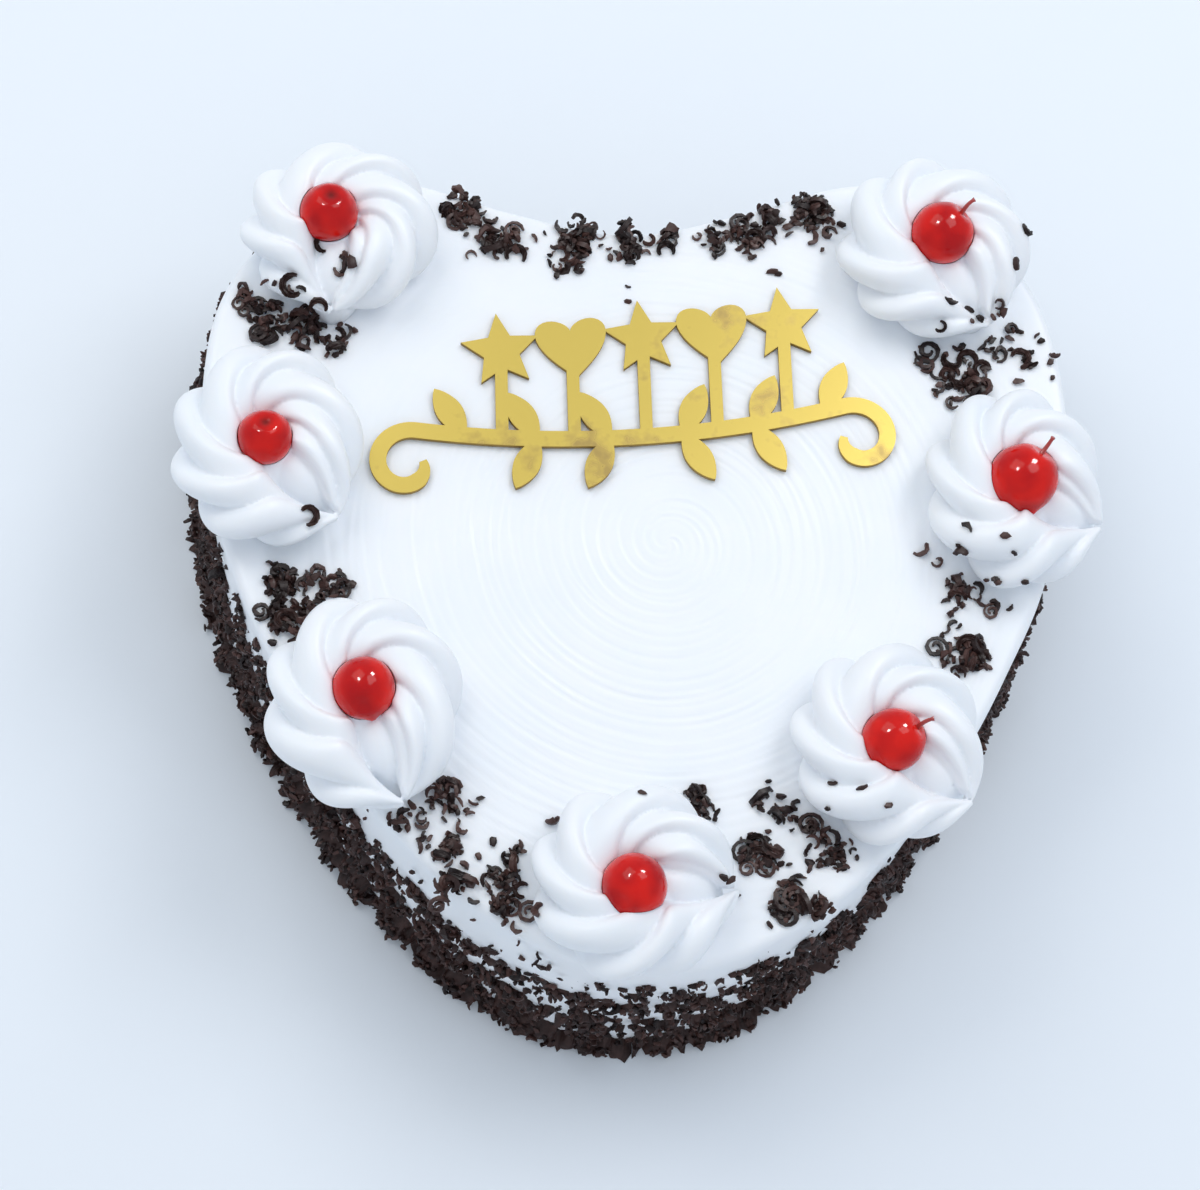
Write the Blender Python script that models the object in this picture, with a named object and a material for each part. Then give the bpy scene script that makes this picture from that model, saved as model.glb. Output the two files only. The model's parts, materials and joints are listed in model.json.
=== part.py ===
"""Heart-shaped cream cake: piped rosettes, a glazed cherry in each, dark shavings and a gilt topper.

The model stands on the plane z = 0 with its front, the heart's rounded tip, towards -Y.
"""
import math
import random

import bmesh
import bpy
from mathutils import Matrix, Vector

MM = 0.001
GAP = 0.3
MERGE = 1e-6
SHARP_ANGLE = math.radians(50)

# The cream body. The outline is the right half of the heart, from its tip to the middle of its notch.
BODY_HEIGHT = 66.0
TOP_EDGE_ROUND = 2.4
TOP_EDGE_STEPS = 3
HALF_OUTLINE = [(0, -99), (32, -90), (62, -63.5), (86, -28), (101, 7), (106, 42), (97, 77), (65, 100.5),
                (30, 93.3), (0, 87)]
LEFT_LOBE = 0.975
OUTLINE_STEPS = 4
BODY_SHIFT = (0.5, 0.0)

# The coat of shavings on the wall: uneven, thickest at the foot and gone near the top edge.
COAT_LEVELS = (0, 8, 16, 24, 32, 40, 48, 54)
COAT_TOP = 59.0
COAT_DEPTH = 3.4
COAT_UNEVEN = (0.25, 1.45)

# The middle of the finished cake's box, which becomes the origin.
BOX_MIDDLE = (0.7, 1.44)

# Rosettes: place of the ring's middle, half width and half depth and the direction of the tail,
# then the cherry's own offset from that middle, its radius and its stalk's direction.
ROSETTES = [
    {"at": (73.9, 78.6), "half": (23.5, 23.0), "tail": -58,
     "offset": (1.4, 0.8), "cherry": 7.5, "stalk": 35},
    {"at": (88.8, 15.8), "half": (21.5, 25.0), "tail": -22,
     "offset": (1.3, -0.2), "cherry": 8.2, "stalk": 50},
    {"at": (-65.2, -36.4), "half": (23.0, 25.5), "tail": -67,
     "offset": (0.0, 1.0), "cherry": 7.2, "stalk": None},
    {"at": (-5.9, -79.3), "half": (23.5, 23.0), "tail": -4,
     "offset": (0.3, -3.2), "cherry": 7.4, "stalk": None},
    {"at": (54.8, -47.3), "half": (22.5, 24.0), "tail": -34,
     "offset": (0.3, -1.4), "cherry": 7.3, "stalk": 15},
    {"at": (-87.0, 26.9), "half": (22.5, 25.0), "tail": -43,
     "offset": (-0.3, -0.8), "cherry": 6.4, "stalk": None},
    {"at": (-69.0, 83.8), "half": (23.5, 21.5), "tail": -95,
     "offset": (-3.0, 0.2), "cherry": 7.0, "stalk": None},
]
NOZZLE_LOBES = 8
LINES_PER_LOBE = 3
LOBE_DEPTH = 0.075
ROPE_RADIUS = 9.2
ROPE_MIDDLE_HEIGHT = 8.4
ROPE_ANGLES = (-45, -12, 18, 46, 74, 102, 130)
FOOT_RING = 0.85
TAIL_REACH = 2.0
TAIL_SPREAD = math.radians(16)
TAIL_SINK = 0.12
CHERRY_HEIGHT = 15.0
CHERRY_SIDES = 10
CHERRY_RINGS = 7
SOCKET_CLEARANCE = 0.45
SOCKET_ANGLES = (-18, -52)
STALK_LENGTH = 5.0
STALK_RADIUS = 0.7
STALK_FLARE = 1.3
STALK_ROOT = 1.5
STALK_SIDES = 7
STALK_LEAN = math.radians(48)

# The topper, cut from one thin sheet: a leafy branch with stars and hearts on short stalks.
TOPPER_THICKNESS = 1.3
CHARM_ROW = {"middle": (3.2, 58.0), "turn": 6.0, "pitch": 17.2, "charms": 5}
STAR_RADIUS = 9.8
STAR_INNER = 0.46
HEART_SIZE = 8.6
HEART_POINTS = 14
BRANCH = {"middle": (0.0, 32.0), "turn": 3.5, "length": 104.0, "rise": 5.0, "width": 4.0}
BRANCH_TIP = 0.45
BRANCH_TAPER = 0.09
BRANCH_POINTS = 16
CURL_POINTS = 11
CURL_RADIUS = 8.6
CURL_SWEEP = math.radians(300)
CURL_CLOSING = 0.6
LEAF = {"length": 14.0, "width": 6.4, "points": 5, "lean": 62, "fullness": 0.8}
CHARM_STALK_WIDTH = 3.0

# Shavings: curled flakes fused to the cream, thick on the wall and in loose heaps on top.
SEED = 11
FLAKE_CUTS = 2
WALL_FLAKES = 92
WALL_BAND = (3.0, 56.0)
FLAKE_LENGTH = (6.0, 10.5)
FLAKE_WIDTH = (2.2, 3.6)
FLAKE_THICKNESS = (1.5, 2.2)
FLAKE_BEND = (0.4, 2.4)
FLAKE_TIP = 0.55
WALL_JITTER = 0.4
HEIGHT_STEP = 0.618
HEIGHT_JITTER = 0.08
HEIGHT_BIAS = 1.15
WALL_SINK = (0.5, 1.0)
WALL_STAND_OFF = 0.4
WALL_TILT = 0.6
TOP_TILT = 0.25
TOP_LIFT = (0.2, 0.8)
EDGE_ROOM = 3.0
TOP_HEAPS = [
    {"at": (-80.5, -9.7), "half": (12, 10), "flakes": 8},
    {"at": (-49.4, -62.7), "half": (8, 10), "flakes": 6},
    {"at": (-38.0, -77.0), "half": (7, 8), "flakes": 4},
    {"at": (11.9, -56.5), "half": (2, 3), "flakes": 1},
    {"at": (35.3, -71.0), "half": (10, 9), "flakes": 7},
    {"at": (25.9, -82.8), "half": (6, 5), "flakes": 2},
    {"at": (78.2, -10.0), "half": (8, 10), "flakes": 6},
    {"at": (87.3, 50.0), "half": (12, 7), "flakes": 6},
    {"at": (-88.0, 60.0), "half": (7, 4), "flakes": 2},
    {"at": (-70.0, 58.0), "half": (9, 5), "flakes": 4},
    {"at": (-40.1, 91.0), "half": (4, 5), "flakes": 2},
    {"at": (-28.5, 84.9), "half": (5, 3), "flakes": 2},
    {"at": (-14.7, 81.5), "half": (8, 5), "flakes": 4},
    {"at": (4.0, 82.0), "half": (9, 3), "flakes": 4},
    {"at": (25.9, 84.8), "half": (7, 4), "flakes": 3},
    {"at": (42.0, 90.0), "half": (7, 5), "flakes": 4},
]
PLACING_TRIES = 60


def to_metres(point):
    """Turns a point in millimetres into Blender's metres."""
    return Vector(point) * MM


def make_material(name, colour, roughness, metallic):
    """A Principled material for one finish of the cake."""
    material = bpy.data.materials.new(name)
    material.use_nodes = True
    shader = material.node_tree.nodes["Principled BSDF"]
    shader.inputs["Base Color"].default_value = (*colour, 1)
    shader.inputs["Roughness"].default_value = roughness
    shader.inputs["Metallic"].default_value = metallic
    return material


def add_object(name, mesh_source, collection, material):
    """Puts a bmesh into a named, smooth-shaded object."""
    mesh = bpy.data.meshes.new(name)
    mesh_source.to_mesh(mesh)
    mesh_source.free()
    mesh.shade_smooth()
    mesh.set_sharp_from_angle(angle=SHARP_ANGLE)
    mesh.materials.append(material)
    piece = bpy.data.objects.new(name, mesh)
    collection.objects.link(piece)
    return piece


def smooth_loop(points, steps):
    """A closed Catmull-Rom curve through the points, with some steps between each pair."""
    loop = []
    count = len(points)
    for index in range(count):
        before, start, end, after = (Vector(points[(index + k) % count]) for k in (-1, 0, 1, 2))
        for step in range(steps):
            t = step / steps
            loop.append(0.5 * (2 * start + (end - before) * t
                               + (2 * before - 5 * start + 4 * end - after) * t * t
                               + (3 * start - before - 3 * end + after) * t ** 3))
    return loop


def heart_outline():
    """The body's outline seen from above, anticlockwise, in millimetres."""
    left = [(-x * LEFT_LOBE, y) for x, y in reversed(HALF_OUTLINE[1:-1])]
    loop = smooth_loop(HALF_OUTLINE + left, OUTLINE_STEPS)
    return [point + Vector(BODY_SHIFT) for point in loop]


def outward(outline, index):
    """The direction straight out of the outline at one of its points."""
    run = outline[(index + 1) % len(outline)] - outline[index - 1]
    return Vector((run.y, -run.x)).normalized()


def coat_depth(height):
    """The usual depth of the shavings at a height on the wall."""
    return COAT_DEPTH * max(0.0, 1 - (height / COAT_TOP) ** 2)


def loft(rings, cap_end):
    """Faces from ring to ring, with the first ring closed, and the last one where asked."""
    shape = bmesh.new()
    loops = [[shape.verts.new(to_metres(point)) for point in ring] for ring in rings]
    for lower, upper in zip(loops, loops[1:]):
        for index in range(len(lower)):
            after = (index + 1) % len(lower)
            shape.faces.new((lower[index], lower[after], upper[after], upper[index]))
    shape.faces.new(list(reversed(loops[0])))
    if cap_end:
        shape.faces.new(loops[-1])
    return shape


def make_core(outline, draw, collection, material):
    """The heart with its uneven coat, its bare band above and a rounded top edge."""
    levels = [(height, 0.0, coat_depth(height)) for height in COAT_LEVELS]
    levels.append((COAT_TOP, 0.0, 0.0))
    for step in range(TOP_EDGE_STEPS + 1):
        angle = step / TOP_EDGE_STEPS * math.pi / 2
        inset = TOP_EDGE_ROUND * (1 - math.cos(angle))
        levels.append((BODY_HEIGHT - TOP_EDGE_ROUND * (1 - math.sin(angle)), -inset, 0.0))
    rings = []
    for height, inset, coat in levels:
        ring = []
        for index, point in enumerate(outline):
            spot = point + outward(outline, index) * (inset + coat * draw.uniform(*COAT_UNEVEN))
            ring.append((*spot, height))
        rings.append(ring)
    shape = loft(rings, cap_end=True)
    bmesh.ops.triangulate(shape, faces=shape.faces)
    return add_object("cake_body", shape, collection, material)


def make_flake(name, draw, collection, material):
    """One curled flake: a flat bar, tapered at its ends and bent round its middle."""
    length = draw.uniform(*FLAKE_LENGTH)
    width = draw.uniform(*FLAKE_WIDTH)
    thickness = draw.uniform(*FLAKE_THICKNESS)
    bend = draw.uniform(*FLAKE_BEND) * draw.choice((-1, 1))
    shape = bmesh.new()
    bmesh.ops.create_cube(shape, size=1, matrix=Matrix.Diagonal((length, width, thickness, 1)))
    long_edges = [edge for edge in shape.edges
                  if abs((edge.verts[0].co - edge.verts[1].co).x) > length / 2]
    bmesh.ops.subdivide_edges(shape, edges=long_edges, cuts=FLAKE_CUTS)
    radius = length / abs(bend)
    for vert in shape.verts:
        share = vert.co.x / length
        narrow = 1 - (1 - FLAKE_TIP) * (2 * share) ** 2
        angle = share * bend
        reach = vert.co.y * narrow
        turn = math.copysign(1, bend)
        vert.co.x = (radius - turn * reach) * math.sin(abs(angle)) * math.copysign(1, share)
        vert.co.y = turn * (radius - (radius - turn * reach) * math.cos(angle))
    bmesh.ops.scale(shape, verts=shape.verts, vec=(MM, MM, MM))
    bmesh.ops.recalc_face_normals(shape, faces=shape.faces)
    bmesh.ops.triangulate(shape, faces=shape.faces)
    return add_object(name, shape, collection, material)


def rest_above_ground(flake):
    """Lifts a flake that would reach below the foot of the cake."""
    lowest = min((flake.matrix_world @ vert.co).z for vert in flake.data.vertices)
    lift = max(0.0, GAP * MM - lowest)
    flake.matrix_world = Matrix.Translation((0, 0, lift)) @ flake.matrix_world


def place_wall_flakes(outline, draw, collection, material):
    """Presses flakes into the wall, spread evenly round it and turned every way."""
    count = len(outline)
    for index in range(WALL_FLAKES):
        flake = make_flake(f"wall_flake_{index:03d}", draw, collection, material)
        along = (index + draw.uniform(-WALL_JITTER, WALL_JITTER)) * count / WALL_FLAKES
        start = outline[int(along) % count]
        end = outline[(int(along) + 1) % count]
        spot = start.lerp(end, along % 1)
        out = Vector((end.y - start.y, start.x - end.x)).normalized()
        share = (index * HEIGHT_STEP + draw.uniform(-HEIGHT_JITTER, HEIGHT_JITTER)) % 1
        height = WALL_BAND[0] + (WALL_BAND[1] - WALL_BAND[0]) * share ** HEIGHT_BIAS
        spot = spot + out * (coat_depth(height) * draw.uniform(*WALL_SINK) + WALL_STAND_OFF)
        facing = Vector((*out, 0)).to_track_quat("Z", "Y").to_matrix().to_4x4()
        spin = Matrix.Rotation(draw.uniform(0, math.tau), 4, "Z")
        tilt = Matrix.Rotation(draw.uniform(-WALL_TILT, WALL_TILT), 4, "X")
        flake.matrix_world = Matrix.Translation(to_metres((*spot, height))) @ facing @ spin @ tilt
        rest_above_ground(flake)


def clear_of_rosettes(spot, reach):
    """True where a flake of that reach stays off every rosette."""
    for rosette in ROSETTES:
        room = max(rosette["half"]) + TAIL_REACH + reach
        if (spot - Vector(rosette["at"])).length < room:
            return False
    return True


def clear_of_edge(spot, outline):
    """True where a spot keeps off the points of the edge."""
    return min((spot - point).length for point in outline) > EDGE_ROOM


def place_top_flakes(outline, draw, collection, material):
    """Scatters flakes over the heaps on top, clear of the rosettes."""
    for heap_index, heap in enumerate(TOP_HEAPS):
        for index in range(heap["flakes"]):
            flake = make_flake(f"top_flake_{heap_index:02d}_{index}", draw, collection, material)
            reach = max(math.hypot(vert.co.x, vert.co.y) for vert in flake.data.vertices) / MM
            found = False
            for _ in range(PLACING_TRIES):
                angle = draw.uniform(0, math.tau)
                radius = math.sqrt(draw.random())
                spot = Vector((heap["at"][0] + heap["half"][0] * radius * math.cos(angle),
                               heap["at"][1] + heap["half"][1] * radius * math.sin(angle)))
                if clear_of_rosettes(spot, reach) and clear_of_edge(spot, outline):
                    found = True
                    break
            if not found:
                bpy.data.objects.remove(flake)
                continue
            spin = Matrix.Rotation(draw.uniform(0, math.tau), 4, "Z")
            tilt = Matrix.Rotation(draw.uniform(-TOP_TILT, TOP_TILT), 4, "X")
            height = BODY_HEIGHT + draw.uniform(*TOP_LIFT)
            flake.matrix_world = Matrix.Translation(to_metres((*spot, height))) @ spin @ tilt


def largest_piece(shape):
    """Keeps only the piece with the most corners, which also fills any sealed hollow."""
    unseen = set(shape.verts)
    pieces = []
    while unseen:
        group = {unseen.pop()}
        edge_of_group = list(group)
        while edge_of_group:
            vert = edge_of_group.pop()
            for edge in vert.link_edges:
                other = edge.other_vert(vert)
                if other in unseen:
                    unseen.remove(other)
                    group.add(other)
                    edge_of_group.append(other)
        pieces.append(group)
    main = max(pieces, key=len)
    spare = [vert for group in pieces if group is not main for vert in group]
    bmesh.ops.delete(shape, geom=spare, context="VERTS")


def fuse(target, operands):
    """Unites a collection's objects with the target by one Boolean and removes them."""
    union = target.modifiers.new("fuse", "BOOLEAN")
    union.operation = "UNION"
    union.operand_type = "COLLECTION"
    union.collection = operands
    union.solver = "EXACT"
    graph = bpy.context.evaluated_depsgraph_get()
    graph.update()
    joined = bmesh.new()
    joined.from_object(target, graph)
    target.modifiers.remove(union)
    for piece in list(operands.objects):
        bpy.data.objects.remove(piece)
    bpy.data.collections.remove(operands)
    bmesh.ops.remove_doubles(joined, verts=joined.verts, dist=MERGE)
    bmesh.ops.dissolve_degenerate(joined, edges=joined.edges, dist=MERGE)
    largest_piece(joined)
    bmesh.ops.triangulate(joined, faces=joined.faces)
    joined.to_mesh(target.data)
    joined.free()
    target.data.shade_smooth()
    target.data.set_sharp_from_angle(angle=SHARP_ANGLE)


def pushed_off_cherry(rosette, point):
    """Moves a point of the cream out to the cherry's clearance where it would be nearer."""
    middle = Vector((*rosette["offset"], CHERRY_HEIGHT))
    away = point - middle
    return middle + away * max(1.0, (rosette["cherry"] + SOCKET_CLEARANCE) / away.length)


def rosette_point(rosette, line, rope_angle):
    """A point of the piped ring, on one line of the nozzle's star at one angle of the rope."""
    half_x, half_y = rosette["half"]
    half = (half_x + half_y) / 2
    star = line / (NOZZLE_LOBES * LINES_PER_LOBE) * math.tau
    around = star + rope_angle + math.radians(rosette["tail"])
    rope = ROPE_RADIUS * (1 + LOBE_DEPTH * math.cos(NOZZLE_LOBES * star))
    away = (star + rope_angle + math.pi) % math.tau - math.pi
    tail = math.exp(-(away / TAIL_SPREAD) ** 2)
    radius = half - ROPE_RADIUS + (rope + TAIL_REACH * tail) * math.cos(rope_angle)
    inward = (1 - math.cos(rope_angle)) / 2
    x = radius * math.cos(around) * (half_x / half) ** (1 - inward)
    y = radius * math.sin(around) * (half_y / half) ** (1 - inward)
    z = ROPE_MIDDLE_HEIGHT + rope * math.sin(rope_angle) * (1 - TAIL_SINK * tail)
    point = Vector((x + rosette["offset"][0] * inward, y + rosette["offset"][1] * inward, z))
    return pushed_off_cherry(rosette, point)


def socket_point(rosette, line, angle):
    """A point of the round hollow that holds the cherry."""
    radius = rosette["cherry"] + SOCKET_CLEARANCE
    star = line / (NOZZLE_LOBES * LINES_PER_LOBE) * math.tau
    around = star + math.radians(ROPE_ANGLES[-1]) + math.radians(rosette["tail"])
    return Vector((rosette["offset"][0] + radius * math.cos(angle) * math.cos(around),
                   rosette["offset"][1] + radius * math.cos(angle) * math.sin(around),
                   CHERRY_HEIGHT + radius * math.sin(angle)))


def make_rosette(number, rosette, collection, material):
    """A one-turn swirl: a loft along the star's lines, from the foot over the crest to the socket."""
    lines = range(NOZZLE_LOBES * LINES_PER_LOBE)
    rings = []
    first = [rosette_point(rosette, line, math.radians(ROPE_ANGLES[0])) for line in lines]
    rings.append([Vector((point.x * FOOT_RING, point.y * FOOT_RING, 0)) for point in first])
    for angle in ROPE_ANGLES:
        rings.append([rosette_point(rosette, line, math.radians(angle)) for line in lines])
    for angle in SOCKET_ANGLES:
        rings.append([socket_point(rosette, line, math.radians(angle)) for line in lines])
    place = Vector((*rosette["at"], BODY_HEIGHT + GAP))
    shape = loft([[point + place for point in ring] for ring in rings], cap_end=False)
    socket_rim = [edge for edge in shape.edges if edge.is_boundary]
    socket = bmesh.ops.extrude_edge_only(shape, edges=socket_rim)
    pole = [item for item in socket["geom"] if isinstance(item, bmesh.types.BMVert)]
    bottom = socket_point(rosette, 0, -math.pi / 2) + place
    bmesh.ops.pointmerge(shape, verts=pole, merge_co=to_metres(bottom))
    bmesh.ops.recalc_face_normals(shape, faces=shape.faces)
    bmesh.ops.triangulate(shape, faces=shape.faces)
    return add_object(f"cream_rosette_{number}", shape, collection, material)


def make_cherry(number, rosette, collection, material):
    """A glazed cherry sunk in its rosette, with a stub of stalk on some of them."""
    shape = bmesh.new()
    middle = Vector((*rosette["at"], BODY_HEIGHT + GAP)) + Vector((*rosette["offset"], CHERRY_HEIGHT))
    place = Matrix.Translation(to_metres(middle))
    bmesh.ops.create_uvsphere(shape, u_segments=CHERRY_SIDES, v_segments=CHERRY_RINGS,
                              radius=rosette["cherry"] * MM, matrix=place)
    bmesh.ops.triangulate(shape, faces=shape.faces)
    cherry = add_object(f"cherry_{number}", shape, collection, material)
    if rosette["stalk"] is None:
        return cherry
    stalk = bmesh.new()
    heading = Matrix.Rotation(math.radians(rosette["stalk"]), 4, "Z")
    lean = Matrix.Rotation(STALK_LEAN, 4, "Y")
    out = Matrix.Translation((0, 0, (rosette["cherry"] + STALK_LENGTH / 2 - STALK_ROOT) * MM))
    bmesh.ops.create_cone(stalk, cap_ends=True, segments=STALK_SIDES, radius1=STALK_RADIUS * MM,
                          radius2=STALK_RADIUS * STALK_FLARE * MM, depth=STALK_LENGTH * MM,
                          matrix=place @ heading @ lean @ out)
    bmesh.ops.triangulate(stalk, faces=stalk.faces)
    stalks = bpy.data.collections.new("stalk")
    bpy.context.scene.collection.children.link(stalks)
    add_object("stalk", stalk, stalks, material)
    fuse(cherry, stalks)
    return cherry


def placed(points, middle, turn):
    """Turns and shifts flat points into the topper's place on the cake."""
    angle = math.radians(turn)
    return [(middle[0] + x * math.cos(angle) - y * math.sin(angle),
             middle[1] + x * math.sin(angle) + y * math.cos(angle)) for x, y in points]


def star_points(radius):
    """A five-pointed star."""
    points = []
    for index in range(10):
        reach = radius if index % 2 == 0 else radius * STAR_INNER
        angle = math.radians(90 + 36 * index)
        points.append((reach * math.cos(angle), reach * math.sin(angle)))
    return points


def heart_points(size):
    """A plump heart from the usual curve."""
    points = []
    for index in range(HEART_POINTS):
        t = index / HEART_POINTS * math.tau
        points.append((size * math.sin(t) ** 3,
                       size * (13 * math.cos(t) - 5 * math.cos(2 * t) - 2 * math.cos(3 * t)) / 15))
    return points


def ribbon_points(line, widths):
    """The closed outline of a ribbon along a line."""
    left, right = [], []
    for index, point in enumerate(line):
        ahead = line[min(index + 1, len(line) - 1)]
        behind = line[max(index - 1, 0)]
        run = Vector((ahead[0] - behind[0], ahead[1] - behind[1])).normalized()
        half = widths[index] / 2
        left.append((point[0] - run.y * half, point[1] + run.x * half))
        right.append((point[0] + run.y * half, point[1] - run.x * half))
    return left + right[::-1]


def branch_height(x):
    """How far the branch rises towards its ends."""
    return BRANCH["rise"] * (2 * x / BRANCH["length"]) ** 2


def branch_place(along):
    """The place on the cake of a point along the branch."""
    return placed([(along, branch_height(along))], BRANCH["middle"], BRANCH["turn"])[0]


def branch_line():
    """The branch with a curl at each end, as points along its middle."""
    half = BRANCH["length"] / 2
    x, y = half, branch_height(half)
    heading = math.atan(4 * BRANCH["rise"] / BRANCH["length"])
    step = CURL_SWEEP / CURL_POINTS
    curl = []
    for index in range(CURL_POINTS):
        radius = CURL_RADIUS * (1 - CURL_CLOSING * index / CURL_POINTS)
        heading -= step
        x += radius * step * math.cos(heading)
        y += radius * step * math.sin(heading)
        curl.append((x, y))
    places = [half * (2 * k / BRANCH_POINTS - 1) for k in range(BRANCH_POINTS + 1)]
    stem = [(place, branch_height(place)) for place in places]
    return [(-px, py) for px, py in reversed(curl)] + stem + curl


def leaf_points(root, heading):
    """A pointed leaf that grows from a place on the branch."""
    outline = []
    for side in (1, -1):
        for k in range(LEAF["points"]):
            t = k / LEAF["points"] if side == 1 else 1 - k / LEAF["points"]
            half_width = LEAF["width"] / 2 * math.sin(math.pi * t) ** LEAF["fullness"]
            outline.append((LEAF["length"] * t, side * half_width))
    return placed(outline, root, heading)


def add_plate(name, points, collection, material):
    """A flat sheet piece cut to an outline, from a filled and extruded 2D curve."""
    outline = bpy.data.curves.new(name, "CURVE")
    outline.dimensions = "2D"
    outline.fill_mode = "BOTH"
    outline.extrude = TOPPER_THICKNESS / 2 * MM
    spline = outline.splines.new("POLY")
    spline.points.add(len(points) - 1)
    for target, (x, y) in zip(spline.points, points):
        target.co = (x * MM, y * MM, 0, 1)
    spline.use_cyclic_u = True
    sketch = bpy.data.objects.new(name + "_sketch", outline)
    collection.objects.link(sketch)
    graph = bpy.context.evaluated_depsgraph_get()
    shape = bmesh.new()
    shape.from_mesh(bpy.data.meshes.new_from_object(sketch.evaluated_get(graph)))
    bpy.data.objects.remove(sketch)
    bmesh.ops.remove_doubles(shape, verts=shape.verts, dist=MERGE)
    lift = BODY_HEIGHT + GAP + TOPPER_THICKNESS / 2
    bmesh.ops.translate(shape, verts=shape.verts, vec=to_metres((0, 0, lift)))
    bmesh.ops.recalc_face_normals(shape, faces=shape.faces)
    return add_object(name, shape, collection, material)


def make_topper(collection, material):
    """The branch with its leaves, and a star or a heart on each stalk."""
    line = placed(branch_line(), BRANCH["middle"], BRANCH["turn"])
    from_end = [min(index, len(line) - 1 - index) for index in range(len(line))]
    widths = [BRANCH["width"] * min(1.0, BRANCH_TIP + BRANCH_TAPER * steps) for steps in from_end]
    topper = add_plate("gold_topper", ribbon_points(line, widths), collection, material)
    extras = bpy.data.collections.new("topper_extras")
    bpy.context.scene.collection.children.link(extras)
    charms = CHARM_ROW["charms"]
    aside = CHARM_ROW["middle"][0] - BRANCH["middle"][0]
    for index in range(charms):
        along = (index - (charms - 1) / 2) * CHARM_ROW["pitch"]
        centre = placed([(along, 0)], CHARM_ROW["middle"], CHARM_ROW["turn"])[0]
        points = star_points(STAR_RADIUS) if index % 2 == 0 else heart_points(HEART_SIZE)
        add_plate(f"charm_{index}", placed(points, centre, CHARM_ROW["turn"]), extras, material)
        root = branch_place(along + aside)
        add_plate(f"stalk_{index}", ribbon_points([root, centre], [CHARM_STALK_WIDTH] * 2),
                  extras, material)
    for index in range(charms + 1):
        along = (index - charms / 2) * CHARM_ROW["pitch"]
        root = branch_place(along + aside)
        away = 1 if along > 0 else -1
        sides = (1,) if index in (0, charms) else (1, -1)
        for side in sides:
            heading = BRANCH["turn"] + 90 - away * (90 - side * LEAF["lean"])
            add_plate(f"leaf_{index}_{side}", leaf_points(root, heading), extras, material)
    fuse(topper, extras)
    return topper


def main():
    """Builds the cake in its own collection."""
    for item in list(bpy.data.objects):
        bpy.data.objects.remove(item)
    scene = bpy.context.scene
    cake = bpy.data.collections.new("heart_cake")
    scene.collection.children.link(cake)
    cream = make_material("whipped_cream", (0.93, 0.94, 0.97), 0.45, 0.0)
    red = make_material("glazed_cherry", (0.72, 0.02, 0.03), 0.12, 0.0)
    gilt = make_material("gilt_acrylic", (0.80, 0.55, 0.13), 0.25, 0.7)
    outline = heart_outline()
    draw = random.Random(SEED)
    body = make_core(outline, draw, cake, cream)
    flakes = bpy.data.collections.new("shavings")
    scene.collection.children.link(flakes)
    place_wall_flakes(outline, draw, flakes, cream)
    place_top_flakes(outline, draw, flakes, cream)
    fuse(body, flakes)
    for number, rosette in enumerate(ROSETTES, start=1):
        make_rosette(number, rosette, cake, cream)
        make_cherry(number, rosette, cake, red)
    make_topper(cake, gilt)
    for piece in cake.objects:
        piece.location = to_metres((-BOX_MIDDLE[0], -BOX_MIDDLE[1], 0))


main()
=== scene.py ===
"""Looks of the heart-shaped cream cake: combed cream, piped rosettes, cherries, shavings and gilt topper.

Lengths are in millimetres, and are turned to metres where a mesh is made.
"""

import json
import math
import random

import bpy
import numpy as np
from mathutils import Matrix, Vector, noise

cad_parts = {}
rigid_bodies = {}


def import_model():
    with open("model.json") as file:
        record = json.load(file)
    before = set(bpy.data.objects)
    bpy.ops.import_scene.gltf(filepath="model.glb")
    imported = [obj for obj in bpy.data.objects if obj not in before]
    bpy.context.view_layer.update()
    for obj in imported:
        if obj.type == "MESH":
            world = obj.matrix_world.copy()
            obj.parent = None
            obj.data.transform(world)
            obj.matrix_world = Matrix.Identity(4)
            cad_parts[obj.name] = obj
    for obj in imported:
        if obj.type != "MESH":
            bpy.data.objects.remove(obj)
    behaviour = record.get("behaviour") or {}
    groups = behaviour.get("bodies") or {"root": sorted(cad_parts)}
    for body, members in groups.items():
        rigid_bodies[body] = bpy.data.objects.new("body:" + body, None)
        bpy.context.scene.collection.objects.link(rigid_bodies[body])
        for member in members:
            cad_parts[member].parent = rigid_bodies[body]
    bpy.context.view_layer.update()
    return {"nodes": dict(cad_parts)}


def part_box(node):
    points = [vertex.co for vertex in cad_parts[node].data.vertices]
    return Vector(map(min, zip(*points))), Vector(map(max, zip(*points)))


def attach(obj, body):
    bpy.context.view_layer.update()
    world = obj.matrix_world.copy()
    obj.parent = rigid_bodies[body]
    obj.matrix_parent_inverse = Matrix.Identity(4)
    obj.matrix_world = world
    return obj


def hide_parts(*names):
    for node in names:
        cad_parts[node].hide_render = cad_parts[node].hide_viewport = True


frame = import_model()

MM = 0.001
# The CAD solids stand this far apart.
GAP = 0.3
NODES = frame["nodes"]
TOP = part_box("cream_rosette_1")[0].z / MM - GAP
SEED = 23

# The heart's outline from above: its right half, the left one's width beside it, and its shift.
HALF_OUTLINE = [(0, -99), (32, -90), (62, -63.5), (86, -28), (101, 7), (106, 42), (97, 77), (65, 100.5),
                (30, 93.3), (0, 87)]
LEFT_LOBE = 0.975
OUTLINE_STEPS = 40
OUTLINE_SHIFT = (-0.2, -1.44)

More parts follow.
